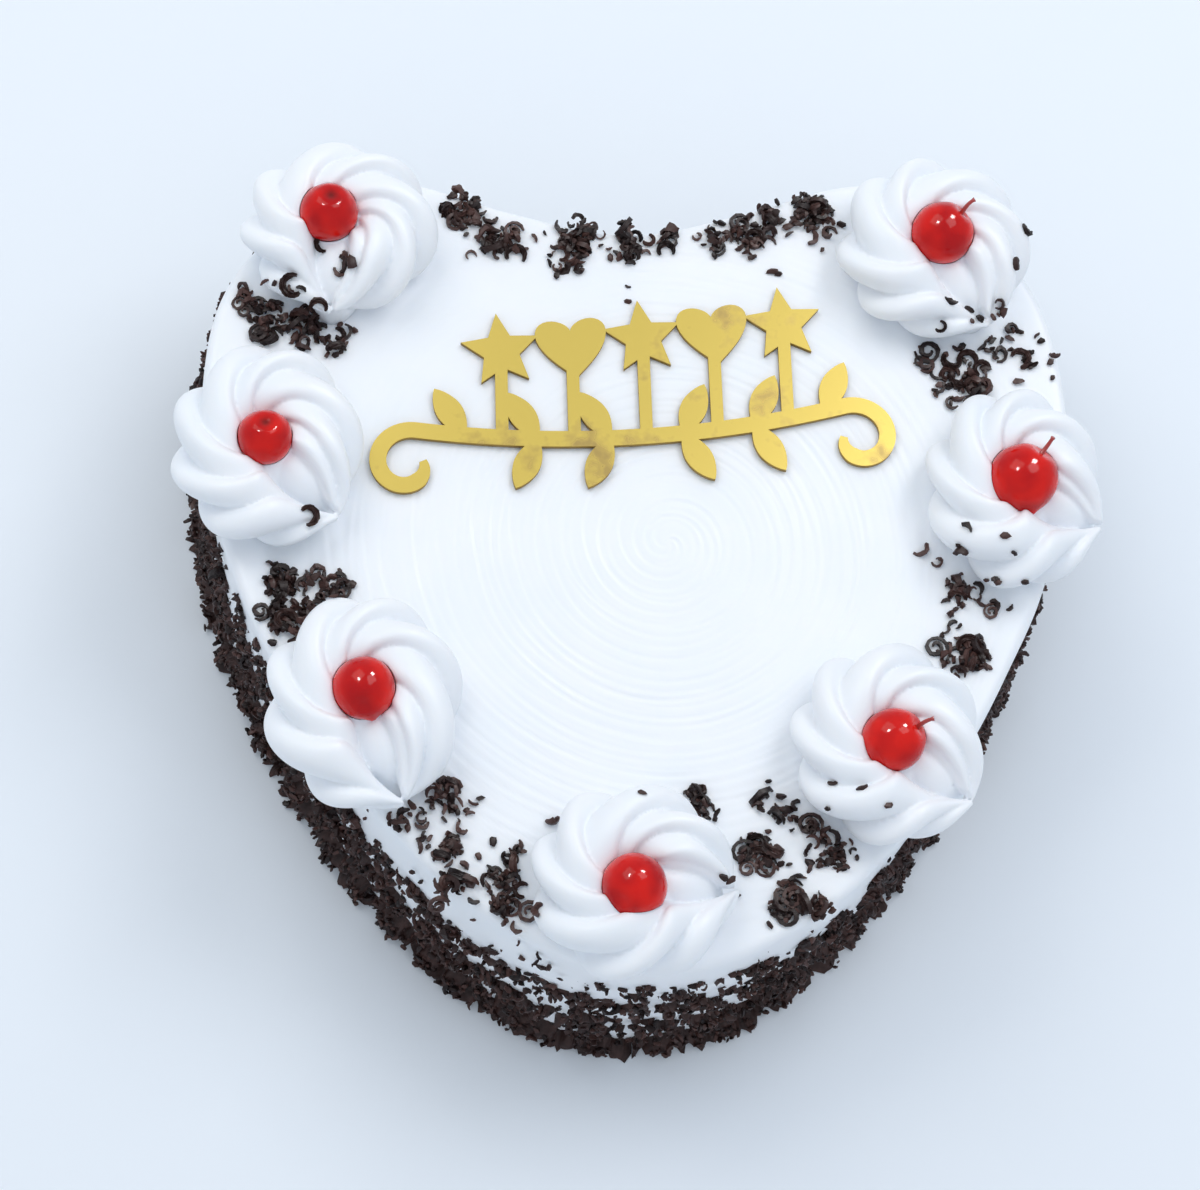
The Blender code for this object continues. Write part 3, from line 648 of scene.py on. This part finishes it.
def pipe_rope(number, rosette):
    """The rope of cream round the rosette: a grid wrapped once round with a twist, both ends at the tail."""
    rope, across, along = wrapped_grid("rope", PROFILE_POINTS, ROPE_POINTS)
    turned, section = along * math.tau, across * math.tau
    size = rope_size(turned)
    raised = ridge(section - LOBE_CROWDING * np.sin(section) + ROPE_TWIST * turned + number)
    outward = np.clip(np.cos(section), 0, 1) ** 2
    inward = np.clip(-np.cos(section), 0, 1)
    depth = LOBE_DEPTH * (1 - INNER_FLATNESS * inward)
    radius = ROPE_RADIUS - depth * (1 - raised) + PETAL_BULGE * (raised - 0.5) * outward
    closed = np.clip(along * ROPE_POINTS, 0, 1) * np.clip((1 - along) * ROPE_POINTS, 0, 1)
    radius = radius * size * closed
    inset = (ROPE_RADIUS + 0.4 * PETAL_BULGE) * size - TIP_REACH * (1 - size) ** 4
    ring_x, ring_y = (half - inset for half in rosette["half"])
    heading = math.radians(rosette["tail"]) + turned
    x = (ring_x + radius * np.cos(section)) * np.cos(heading)
    y = (ring_y + radius * np.cos(section)) * np.sin(heading)
    z = ROPE_HEIGHT - ROPE_SINK * (1 - size) + radius * np.sin(section)
    write_places(rope, np.column_stack([x, y, z]))
    merge_doubles(rope, 0.001)
    return rope


def cherry_place(number):
    """The middle and the radius of a cherry, from the lowest point of its CAD node."""
    lowest = min(NODES[f"cherry_{number}"].data.vertices, key=lambda vertex: vertex.co.z).co / MM
    height = TOP + GAP + CHERRY_HEIGHT
    return np.array([lowest.x, lowest.y, height]), height - lowest.z


def rosette_middle(number):
    """The middle of a rosette's foot, from the lowest points of its CAD node."""
    points = np.array([vertex.co for vertex in NODES[f"cream_rosette_{number}"].data.vertices]) / MM
    foot = points[points[:, 2] < TOP + 2 * GAP]
    return (foot.min(axis=0) + foot.max(axis=0)) / 2


def make_rosette(number, rosette, material):
    """A piped swirl: the rope and a hub under the cherry, fused, softened and pressed to its place."""
    rope = pipe_rope(number, rosette)
    middle = rosette_middle(number)
    cherry, radius = cherry_place(number)
    tail = math.radians(rosette["tail"])
    towards_tail = np.array([math.cos(tail), math.sin(tail)])
    parts = [rope]
    for sides, place in ((HUB, (cherry - middle)[:2] / 2), (WEDGE, WEDGE_ASIDE * towards_tail)):
        deselect()
        bpy.ops.mesh.primitive_uv_sphere_add(segments=48, ring_count=24, radius=1, rotation=(0, 0, tail),
                                             location=(*(place * MM), 0), scale=[side * MM for side in sides])
        bpy.ops.object.transform_apply(location=True, rotation=True, scale=True)
        parts.append(bpy.context.object)
    choose(parts)
    bpy.ops.object.join()
    rope.name = f"piped_rosette_{number}"
    rope.data.name = rope.name
    fuse = rope.modifiers.new("fuse", "REMESH")
    fuse.mode = "VOXEL"
    fuse.voxel_size = CREAM_VOXEL * MM
    soften = rope.modifiers.new("soften", "SMOOTH")
    soften.factor = 0.5
    soften.iterations = CREAM_SMOOTHING
    apply_modifiers(rope)
    places = read_places(rope)
    places[:, 2] = np.maximum(places[:, 2], 0)
    places += np.array([middle[0], middle[1], TOP + CREAM_SEAT])
    away = places - cherry
    distance = np.linalg.norm(away, axis=1)
    grow = np.maximum(1, (radius + SOCKET_GAP) / distance)
    places = cherry + away * grow[:, None]
    write_places(rope, places)
    near = np.maximum(distance * grow - radius, 0)
    uneven = BLEED_STRENGTH + BLEED_UNEVEN * slow_wave(places[:, 0], places[:, 1], 9, number)
    write_values(rope, "bleed", np.exp(-(near / BLEED_REACH) ** 2) * uneven)
    dress(rope, [material], [f"cream_rosette_{number}"])
    return rope


def make_cherry(number, rosette, flesh, stalk_material):
    """A candied cherry with its navel, a blunt tip on some, and the stub of a stalk on others."""
    middle, radius = cherry_place(number)
    deselect()
    bpy.ops.mesh.primitive_uv_sphere_add(segments=56, ring_count=36, radius=radius * MM)
    cherry = bpy.context.object
    cherry.name = f"candied_cherry_{number}"
    cherry.data.name = cherry.name
    places = read_places(cherry)
    directions = places / radius
    draw = random.Random(SEED + number)
    heading = math.radians(rosette["stalk"] if rosette["stalk"] is not None else draw.uniform(0, 360))
    lean = STALK_LEAN if rosette["dimple"] is None else DIMPLE_LEAN
    if rosette["dimple"] is not None:
        heading = math.radians(rosette["dimple"])
    navel = Vector((math.sin(lean) * math.cos(heading), math.sin(lean) * math.sin(heading), math.cos(lean)))
    near_navel = np.arccos(np.clip(directions @ np.array(navel), -1, 1))
    swell = CHERRY_SWELL * slow_wave(places[:, 0], places[:, 1] + places[:, 2], 11, number)
    rim = NAVEL_RIM * np.exp(-((near_navel - 0.5) / 0.2) ** 2)
    growth = swell + rim - NAVEL_DEPTH * np.exp(-(near_navel / NAVEL_WIDTH) ** 2)
    if rosette["tip"] is not None:
        angle = math.radians(rosette["tip"])
        tip = np.array([math.cos(angle) * 0.9, math.sin(angle) * 0.9, -0.1])
        near_tip = np.arccos(np.clip(directions @ (tip / np.linalg.norm(tip)), -1, 1))
        growth = growth + TIP_LENGTH * np.exp(-(near_tip / TIP_WIDTH) ** 2)
    places = places * (1 + growth)[:, None] + middle
    write_places(cherry, places)
    browned = 0.8 * np.exp(-(near_navel / 0.2) ** 2) if rosette["dimple"] is not None else 0 * near_navel
    write_values(cherry, "dimple", browned)
    if rosette["stalk"] is not None:
        stalk = make_stalk(Vector(middle) + navel * radius * 0.8, navel)
        for piece in (cherry, stalk):
            piece.data.materials.append(flesh)
            piece.data.materials.append(stalk_material)
        for face in stalk.data.polygons:
            face.material_index = 1
        choose([cherry, stalk])
        bpy.ops.object.join()
        choose([cherry])
        bpy.ops.object.shade_smooth()
        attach(cherry, "root")
        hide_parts(f"cherry_{number}")
    else:
        dress(cherry, [flesh], [f"cherry_{number}"])


def make_stalk(root, direction):
    """A thin bent stalk with a blunt end."""
    curve = bpy.data.curves.new("stalk", "CURVE")
    curve.dimensions = "3D"
    curve.bevel_depth = STALK_RADIUS * MM
    curve.bevel_resolution = 2
    curve.use_fill_caps = True
    spline = curve.splines.new("POLY")
    spline.points.add(STALK_STEPS)
    side = direction.orthogonal().normalized()
    for index, point in enumerate(spline.points):
        share = index / STALK_STEPS
        place = root + direction * STALK_LENGTH * share + side * STALK_BEND * math.sin(share * 2.4)
        point.co = (*(place * MM), 1)
        point.radius = 1.1 - 0.35 * share + (0.35 if index == STALK_STEPS else 0)
    stalk = bpy.data.objects.new("stalk", curve)
    bpy.context.scene.collection.objects.link(stalk)
    choose([stalk])
    bpy.ops.object.convert(target="MESH")
    stalk = bpy.context.object
    merge_doubles(stalk, 0.001)
    return stalk


def turned(points, middle, angle):
    """Turns flat points by an angle in degrees and moves them to a middle."""
    cosine, sine = math.cos(math.radians(angle)), math.sin(math.radians(angle))
    return [(middle[0] + x * cosine - y * sine, middle[1] + x * sine + y * cosine) for x, y in points]


def star_points():
    """A five-pointed star."""
    points = []
    for index in range(10):
        reach = STAR_RADIUS if index % 2 == 0 else STAR_RADIUS * STAR_INNER
        angle = math.radians(90 + 36 * index)
        points.append((reach * math.cos(angle), reach * math.sin(angle)))
    return points


def heart_points():
    """A plump heart from the usual curve."""
    points = []
    for index in range(HEART_POINTS):
        t = index / HEART_POINTS * math.tau
        points.append((HEART_SIZE * math.sin(t) ** 3,
                       HEART_SIZE * (13 * math.cos(t) - 5 * math.cos(2 * t) - 2 * math.cos(3 * t)) / 15))
    return points


def ribbon_points(line, widths):
    """The closed outline of a ribbon along a line."""
    left, right = [], []
    for index, point in enumerate(line):
        ahead = line[min(index + 1, len(line) - 1)]
        behind = line[max(index - 1, 0)]
        run = Vector((ahead[0] - behind[0], ahead[1] - behind[1])).normalized()
        half = widths[index] / 2
        left.append((point[0] - run.y * half, point[1] + run.x * half))
        right.append((point[0] + run.y * half, point[1] - run.x * half))
    return left + right[::-1]


def branch_height(x):
    """How far the branch rises towards its ends."""
    return BRANCH["rise"] * (2 * x / BRANCH["length"]) ** 2


def branch_place(along):
    """The place on the cake of a point along the branch."""
    return turned([(along, branch_height(along))], BRANCH["middle"], BRANCH["turn"])[0]


def branch_line():
    """The branch with a curl at each end, as points along its middle."""
    half = BRANCH["length"] / 2
    x, y = half, branch_height(half)
    heading = math.atan(4 * BRANCH["rise"] / BRANCH["length"])
    step = CURL_SWEEP / CURL_POINTS
    curl = []
    for index in range(CURL_POINTS):
        radius = CURL_RADIUS * (1 - CURL_CLOSING * index / CURL_POINTS)
        heading -= step
        x += radius * step * math.cos(heading)
        y += radius * step * math.sin(heading)
        curl.append((x, y))
    places = [half * (2 * k / BRANCH_POINTS - 1) for k in range(BRANCH_POINTS + 1)]
    stem = [(place, branch_height(place)) for place in places]
    return [(-px, py) for px, py in reversed(curl)] + stem + curl


def leaf_points(root, heading):
    """A pointed leaf that grows from a place on the branch."""
    outline = []
    for side in (1, -1):
        for k in range(LEAF["points"]):
            t = k / LEAF["points"] if side == 1 else 1 - k / LEAF["points"]
            half_width = LEAF["width"] / 2 * math.sin(math.pi * t) ** LEAF["fullness"]
            outline.append((LEAF["length"] * t, side * half_width))
    return turned(outline, root, heading)


def cut_sheet(name, points, collection):
    """A flat piece of the sheet cut to an outline, from a filled and extruded 2D curve."""
    curve = bpy.data.curves.new(name, "CURVE")
    curve.dimensions = "2D"
    curve.fill_mode = "BOTH"
    curve.extrude = TOPPER_THICKNESS / 2 * MM
    spline = curve.splines.new("POLY")
    spline.points.add(len(points) - 1)
    for target, (x, y) in zip(spline.points, points):
        target.co = (x * MM, y * MM, 0, 1)
    spline.use_cyclic_u = True
    piece = bpy.data.objects.new(name, curve)
    collection.objects.link(piece)
    piece.location.z = (TOP + GAP + TOPPER_THICKNESS / 2) * MM
    choose([piece])
    bpy.ops.object.convert(target="MESH")
    piece = bpy.context.object
    bpy.ops.object.transform_apply(location=True, rotation=False, scale=False)
    merge_doubles(piece, 0.001)
    return piece


def make_topper(face_material, edge_material):
    """The branch with its leaves, and a star or a heart on each stalk, united into one sheet."""
    line = turned(branch_line(), BRANCH["middle"], BRANCH["turn"])
    from_end = [min(index, len(line) - 1 - index) for index in range(len(line))]
    widths = [BRANCH["width"] * min(1, BRANCH_TIP + steps / BRANCH_TAPER) for steps in from_end]
    topper = cut_sheet("gilt_topper", ribbon_points(line, widths), bpy.context.scene.collection)
    extras = bpy.data.collections.new("topper_extras")
    bpy.context.scene.collection.children.link(extras)
    charms = CHARM_ROW["charms"]
    aside = CHARM_ROW["middle"][0] - BRANCH["middle"][0]
    for index in range(charms):
        along = (index - (charms - 1) / 2) * CHARM_ROW["pitch"]
        centre = turned([(along, 0)], CHARM_ROW["middle"], CHARM_ROW["turn"])[0]
        points = star_points() if index % 2 == 0 else heart_points()
        cut_sheet(f"charm_{index}", turned(points, centre, CHARM_ROW["turn"]), extras)
        root = branch_place(along + aside)
        cut_sheet(f"charm_stalk_{index}", ribbon_points([root, centre], [CHARM_STALK_WIDTH] * 2), extras)
    for index in range(charms + 1):
        along = (index - charms / 2) * CHARM_ROW["pitch"]
        root = branch_place(along + aside)
        away = 1 if along > 0 else -1
        sides = (1,) if index in (0, charms) else (1, -1)
        for side in sides:
            heading = BRANCH["turn"] + 90 - away * (90 - side * LEAF["lean"])
            cut_sheet(f"leaf_{index}_{side}", leaf_points(root, heading), extras)
    union = topper.modifiers.new("union", "BOOLEAN")
    union.operation = "UNION"
    union.operand_type = "COLLECTION"
    union.collection = extras
    union.solver = "EXACT"
    apply_modifiers(topper)
    for piece in list(extras.objects):
        bpy.data.objects.remove(piece)
    bpy.data.collections.remove(extras)
    topper.data.materials.clear()
    topper.data.materials.append(face_material)
    topper.data.materials.append(edge_material)
    for face in topper.data.polygons:
        face.material_index = 0 if abs(face.normal.z) > 0.5 else 1
    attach(topper, "root")
    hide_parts("gold_topper")


def curl_line(radius, sweep, tightening, rise, points):
    """Points along a curl that tightens and rises as it goes."""
    line = []
    for index in range(points):
        share = index / (points - 1)
        angle = share * sweep
        reach = radius * (1 - tightening * share)
        line.append(Vector((reach * math.cos(angle), reach * math.sin(angle), rise * share)))
    middle = sum(line, Vector()) / points
    return [point - middle for point in line]


def model_curl(radius, sweep, tightening, rise, width, thickness, points, seed):
    """One curled shaving: a thin strip rolled along a line, rough and tapered at both ends."""
    line = curl_line(radius, sweep, tightening, rise, points)
    deselect()
    bpy.ops.mesh.primitive_cube_add(size=1)
    strip = bpy.context.object
    bpy.ops.object.mode_set(mode="EDIT")
    bpy.ops.mesh.select_all(action="DESELECT")
    bpy.ops.object.mode_set(mode="OBJECT")
    for edge in strip.data.edges:
        ends = [strip.data.vertices[index].co for index in edge.vertices]
        edge.select = abs(ends[0].x - ends[1].x) > 0.5
    bpy.ops.object.mode_set(mode="EDIT")
    bpy.ops.mesh.select_mode(type="EDGE")
    bpy.ops.mesh.subdivide(number_cuts=points - 2)
    bpy.ops.object.mode_set(mode="OBJECT")
    draw = random.Random(seed)
    for vertex in strip.data.vertices:
        share = vertex.co.x + 0.5
        index = min(round(share * (points - 1)), points - 1)
        ahead = line[min(index + 1, points - 1)]
        behind = line[max(index - 1, 0)]
        run = (ahead - behind).normalized()
        out = run.cross(Vector((0, 0, 1))).normalized()
        size = 0.45 + 0.55 * math.sin(math.pi * min(1, max(0, share))) ** 0.6
        ragged = 1 + draw.uniform(-RAGGEDNESS, RAGGEDNESS)
        offset = out * vertex.co.y * thickness * size * ragged
        offset += Vector((0, 0, 1)) * vertex.co.z * width * size * ragged
        vertex.co = (line[index] + offset) * MM
    return take_shape(strip)


def model_crumb(stretch, seed):
    """One crumb: a torn lump of a few faces."""
    deselect()
    bpy.ops.mesh.primitive_ico_sphere_add(subdivisions=1, radius=1)
    crumb = bpy.context.object
    draw = random.Random(seed)
    for vertex in crumb.data.vertices:
        vertex.co = Vector((vertex.co.x * stretch[0], vertex.co.y * stretch[1], vertex.co.z * stretch[2]))
        vertex.co *= draw.uniform(0.68, 1.2) * MM
    return take_shape(crumb)


def model_chip(length, width, thickness, bend, seed):
    """One chip: a short bent flake with torn ends."""
    return model_curl(length / bend, bend, 0, 0, width, thickness, CHIP_POINTS, seed)


def take_shape(piece):
    """The piece's vertices in millimetres and its faces as triangles, and the piece is removed."""
    mesh = piece.data
    mesh.calc_loop_triangles()
    places = np.array([vertex.co for vertex in mesh.vertices]) / MM
    faces = np.array([triangle.vertices for triangle in mesh.loop_triangles])
    bpy.data.objects.remove(piece)
    return places, faces


def model_shapes():
    """A handful of shapes of each kind, to be copied all over; the first curls are a hook and a spiral."""
    draw = random.Random(SEED)
    curls, crumbs, chips = [model_curl(*HOOK), model_curl(*SPIRAL)], [], []
    for index in range(FINE_CURLS - 2 + COARSE_CURLS):
        points = FINE_POINTS if index < FINE_CURLS - 2 else COARSE_POINTS
        curls.append(model_curl(draw.uniform(1.1, 2.3), draw.choice(CURL_SWEEPS), draw.uniform(0.1, 0.45),
                                draw.uniform(0.3, 2.4), draw.uniform(0.9, 1.9), draw.uniform(0.7, 1.1),
                                points, index))
    for index in range(SHAPES_OF_A_KIND):
        stretch = [draw.uniform(*sides) for sides in CRUMB_SIDES]
        crumbs.append(model_crumb(stretch, index + 50))
    for index in range(SHAPES_OF_A_KIND):
        chips.append(model_chip(draw.uniform(1.9, 3.6), draw.uniform(0.8, 1.5), draw.uniform(0.6, 0.95),
                                draw.uniform(0.6, 2.2), index + 90))
    return {"curls": curls, "crumbs": crumbs, "chips": chips}


def any_turn(draw):
    """A rotation drawn evenly from all of them."""
    axis = Vector((draw.gauss(0, 1), draw.gauss(0, 1), draw.gauss(0, 1))).normalized()
    return Matrix.Rotation(draw.uniform(0, math.tau), 3, axis)


def lying_turn(draw, out, tilt):
    """A rotation that lays a shape's flat side against a surface, give or take a tilt."""
    facing = out.to_track_quat("Z", "Y").to_matrix()
    spin = Matrix.Rotation(draw.uniform(0, math.tau), 3, "Z")
    axis = Vector((draw.gauss(0, 1), draw.gauss(0, 1), 0)).normalized()
    return facing @ spin @ Matrix.Rotation(draw.gauss(0, tilt), 3, axis)


def pick_shape(kind, fine, draw):
    """The number of a shape of this kind: the curls on top have more points than those on the wall."""
    if kind != "curls":
        return draw.randrange(SHAPES_OF_A_KIND)
    return draw.randrange(FINE_CURLS) if fine else FINE_CURLS + draw.randrange(COARSE_CURLS)


def coverage(share, height):
    """How fully the wall is covered at a share of its length and a height: 1 is full, 0 is bare."""
    x, y, _, _ = wall_place(share)
    length = share * OUTLINE_LENGTH
    patches = sum(weight * slow_wave(length, height * stretch, size, seed)
                  for weight, stretch, size, seed in PATCH_WAVES)
    direction = np.degrees(np.arctan2(y - EYE[1], x - EYE[0]))
    top = np.interp(direction, *zip(*COAT_TOPS)) + COAT_TOP_WAVE * slow_wave(x, y, 30, 33)
    fall = np.clip((top - height) / COAT_FALL, -3, 0)
    return COVER_BASE + COVER_FOOT * np.exp(-height / 8) + COVER_PATCHES * patches + fall


def bed_offset(share, height):
    """How far the bed of shavings stands out of the wall, before its grain."""
    cover = coverage(share, height)
    depth = BED_DEPTH * np.clip(1 - height / (BED_TOP + 6), 0, 1) + BED_FOOT * np.exp(-height / 6)
    return np.where(cover > BED_COVER, depth * np.clip(cover, 0, 1), -1) - BED_SINK


def make_bed(material):
    """The shavings pressed into the wall: a crumbly layer that leaves patches of cream bare."""
    piece, across, along = wrapped_grid("shavings_bed", BED_COLUMNS, BED_ROWS)
    outer = along < 0.9
    height = np.where(outer, along / 0.9 * BED_TOP, (1 - along) / 0.1 * BED_TOP)
    height = np.clip(height, 0, BED_TOP)
    x, y, out_x, out_y = wall_place(across)
    offset = bed_offset(across, height)
    grain = np.array([noise.cell_vector(Vector((a, b, c)) / BED_GRAIN).x for a, b, c in zip(x, y, height)])
    bumps = np.array([noise.noise(Vector((a, b, c)) / BED_BUMP) for a, b, c in zip(x, y, height)])
    rough = grain + 1.4 * bumps - 0.7
    fade = np.clip((BED_TOP - height) / 3, 0, 1)
    offset = np.where(outer, (offset + rough) * fade - 3.0 * (1 - fade), -4.0)
    write_places(piece, np.column_stack([x + out_x * offset, y + out_y * offset, height + 0.05]))
    merge_doubles(piece, 0.01)
    shade = [0.4 + 0.5 * noise.noise(Vector(place) / 2.5) for place in read_places(piece)]
    write_values(piece, "tone", np.clip(shade, 0, 1))
    dress(piece, [material], [])


def wall_drops(kind, count, draw):
    """Places for shavings of one kind on the wall, denser where the wall is better covered."""
    drops = []
    while len(drops) < count:
        share = draw.random()
        height = WALL_FOOT + (BED_TOP - 1) * draw.random()
        if draw.random() > STRAY_SHARE + (1 - STRAY_SHARE) * np.clip(2 * coverage(share, height), 0, 1):
            continue
        x, y, out_x, out_y = wall_place(share)
        offset = max(float(bed_offset(share, height)), -0.2) + draw.uniform(-0.3, 0.9)
        out = Vector((out_x, out_y, 0))
        turn = any_turn(draw) if kind == "crumbs" else lying_turn(draw, out, 1.2)
        size = draw.uniform(0.4, 1.0)
        spot = Vector((x, y, height)) + out * offset
        drops.append((spot, turn, size, pick_shape(kind, False, draw)))
    return drops


def add_lump(drops, middle, out, reach, fine, draw):
    """A tangled lump of shavings of all kinds that stands out of a surface."""
    facing = out.to_track_quat("Z", "Y").to_matrix()
    spread = LUMP_SPREAD if fine else WALL_LUMP_SPREAD
    for _ in range(int(LUMP_PIECES * reach)):
        off = Vector((draw.gauss(0, spread), draw.gauss(0, spread), 0)) * reach
        lift = draw.uniform(0.1, 1) * reach * 0.7 * math.exp(-(off.length / reach) ** 2)
        spot = middle + facing @ (off + Vector((0, 0, 0.4 + lift)))
        kind = draw.choice(LUMP_KINDS)
        drops[kind].append((spot, any_turn(draw), draw.uniform(0.7, 1.2), pick_shape(kind, fine, draw)))


def wall_lumps(drops, draw):
    """Tangled lumps on the wall, where it is covered."""
    left = WALL_LUMPS
    while left:
        share, height = draw.random(), draw.uniform(*LUMP_HEIGHTS)
        if draw.random() > coverage(share, height):
            continue
        left -= 1
        x, y, out_x, out_y = wall_place(share)
        reach = draw.uniform(1.6, 2.7)
        add_lump(drops, Vector((x, y, height)), Vector((out_x, out_y, 0)), reach, False, draw)


def clear_of_rosettes(spot, share):
    """True where a spot keeps off this share of every rosette's width."""
    for number in range(1, len(ROSETTES) + 1):
        middle = rosette_middle(number)
        half = ROSETTES[number - 1]["half"]
        off_x, off_y = (spot.x - middle[0]) / half[0], (spot.y - middle[1]) / half[1]
        if math.hypot(off_x, off_y) < share:
            return False
    return True


def inside_outline(spot, margin):
    """True where a spot is on the top, at least the margin inside the edge."""
    away_x, away_y = spot.x - EYE[0], spot.y - EYE[1]
    return math.hypot(away_x, away_y) < reach_from_eye(math.atan2(away_y, away_x)) - margin


def in_heap(heap, draw):
    """A spot drawn within a heap, or None where it would be off the top or in a rosette."""
    angle, radius = draw.uniform(0, math.tau), math.sqrt(draw.random())
    spot = Vector((heap["at"][0] + heap["half"][0] * radius * math.cos(angle),
                   heap["at"][1] + heap["half"][1] * radius * math.sin(angle), TOP))
    return on_top(spot)


def on_top(spot):
    """The spot itself where it is on the top or a rosette's rim, or None."""
    return spot if clear_of_rosettes(spot, RIM_SHARE) and inside_outline(spot, EDGE_MARGIN) else None


def top_drops(rosettes, draw):
    """Places for the shavings on top, by kind: tangled lumps and loose ones beside them."""
    drops = {"curls": [], "crumbs": [], "chips": []}
    for heap in TOP_HEAPS:
        middles = []
        for _ in range(heap["lumps"]):
            middle = in_heap(heap, draw)
            if middle is None:
                continue
            middles.append(middle)
            if clear_of_rosettes(middle, LUMP_CLEARANCE):
                add_lump(drops, middle, Vector((0, 0, 1)), draw.uniform(1.2, 2.7), True, draw)
        for _ in range(heap["loose"]):
            near = draw.choice(middles) if middles else None
            if near is None or draw.random() < LOOSE_EVEN_SHARE:
                spot = in_heap(heap, draw)
            else:
                spot = on_top(near + Vector((draw.gauss(0, LOOSE_SPREAD), draw.gauss(0, LOOSE_SPREAD), 0)))
            if spot is None:
                continue
            kind = draw.choice(LOOSE_KINDS)
            rest, facing = resting_place(rosettes, spot.x, spot.y)
            drops[kind].append((rest + facing * 0.6, lying_turn(draw, facing, 0.25), draw.uniform(0.6, 1.1),
                                pick_shape(kind, True, draw)))
    return drops


def resting_place(pieces, x, y):
    """The highest point of the pieces or the top under a place, and the direction that it faces."""
    best, facing = Vector((x, y, TOP)), Vector((0, 0, 1))
    for piece in pieces:
        hit, place, normal, _ = piece.ray_cast(Vector((x, y, 300)) * MM, Vector((0, 0, -1)))
        if hit and place.z / MM > best.z:
            best, facing = place / MM, normal.copy()
    return best, facing


def add_singles(drops, rosettes):
    """Lays the single shavings on what is under them."""
    for kind, shape, (x, y), angle, size in SINGLES:
        spot, facing = resting_place(rosettes, x, y)
        turn = facing.to_track_quat("Z", "Y").to_matrix() @ Matrix.Rotation(math.radians(angle), 3, "Z")
        drops[kind].append((spot + facing * 0.4 * size, turn, size, shape))


def gather(name, shapes, drops, material, draw):
    """One mesh from many copies of a few shapes, each with its own place and tone."""
    all_places, all_faces, all_tones = [], [], []
    start = 0
    for spot, turn, size, shape in drops:
        places, faces = shapes[shape]
        moved = places @ (np.array(turn).T * size) + np.array(spot)
        moved[:, 2] += max(0, FLOOR_CLEARANCE - moved[:, 2].min())
        all_places.append(moved)
        all_faces.append(faces + start)
        all_tones.append(np.full(len(places), draw.random() ** 1.5))
        start += len(places)
    mesh = bpy.data.meshes.new(name)
    mesh.from_pydata((np.vstack(all_places) * MM).tolist(), [], np.vstack(all_faces).tolist())
    piece = bpy.data.objects.new(name, mesh)
    bpy.context.scene.collection.objects.link(piece)
    write_values(piece, "tone", np.concatenate(all_tones))
    dress(piece, [material], [])
    bpy.ops.object.shade_smooth_by_angle(angle=math.radians(50))


def make_shavings(material, rosettes):
    """Every loose shaving, one piece for each kind."""
    draw = random.Random(SEED)
    shapes = model_shapes()
    stuck = top_drops(rosettes, draw)
    wall_lumps(stuck, draw)
    add_singles(stuck, rosettes)
    for kind, count in WALL_COUNTS.items():
        drops = wall_drops(kind, count, draw) + stuck[kind]
        gather(f"shavings_{kind}", shapes[kind], drops, material, draw)


def add_light(name, place, size, power, colour):
    """A soft square lamp that faces the cake."""
    lamp = bpy.data.lights.new(name, "AREA")
    lamp.size = size
    lamp.energy = power
    lamp.color = linear(colour)[:3]
    holder = bpy.data.objects.new(name, lamp)
    bpy.context.scene.collection.objects.link(holder)
    holder.location = place
    holder.rotation_euler = (Vector(LAMP_TARGET) - Vector(place)).to_track_quat("-Z", "Y").to_euler()
    return holder


def light_studio():
    """A wide soft key, a fill, two small lamps that only make glints, and a pale room."""
    world = bpy.data.worlds.new("studio")
    bpy.context.scene.world = world
    world.use_nodes = True
    background = world.node_tree.nodes["Background"]
    background.inputs["Color"].default_value = linear("#E4ECF6")
    background.inputs["Strength"].default_value = ROOM_STRENGTH
    for lamp in SOFT_LAMPS:
        add_light(*lamp)
    for lamp in GLINT_LAMPS:
        add_light(*lamp).visible_diffuse = False
    bpy.context.scene.view_settings.view_transform = "Standard"


def lay_floor():
    """The plain pale floor under the cake."""
    deselect()
    bpy.ops.mesh.primitive_plane_add(size=FLOOR_SIZE, location=(0, 0, -FLOOR_DROP * MM))
    bpy.ops.object.transform_apply(location=True, rotation=False, scale=False)
    floor = bpy.context.object
    floor.name = "floor"
    floor.data.materials.append(matt_floor())


def set_camera():
    """The camera of the photograph: its place over the cake, its tilt and its long lens."""
    lens = bpy.data.cameras.new("camera")
    lens.lens = CAMERA_LENS
    lens.sensor_width = CAMERA_SENSOR
    camera = bpy.data.objects.new("camera", lens)
    bpy.context.scene.collection.objects.link(camera)
    camera.location = [side * MM for side in CAMERA_PLACE]
    camera.rotation_euler = [math.radians(angle) for angle in CAMERA_TURN]
    bpy.context.scene.camera = camera


def main():
    """Builds every piece of the cake and its studio."""
    set_camera()
    light_studio()
    lay_floor()
    make_core(whipped_cream("spread_cream", stained=False))
    piped = whipped_cream("piped_cream", stained=True)
    flesh = glace_cherry()
    stalk_material = dyed_stalk()
    rosettes = []
    for number, rosette in enumerate(ROSETTES, start=1):
        rosettes.append(make_rosette(number, rosette, piped))
        make_cherry(number, rosette, flesh, stalk_material)
    make_topper(mirrored_acrylic(), cut_edge())
    chocolate = dark_chocolate()
    make_bed(chocolate)
    make_shavings(chocolate, rosettes)


main()
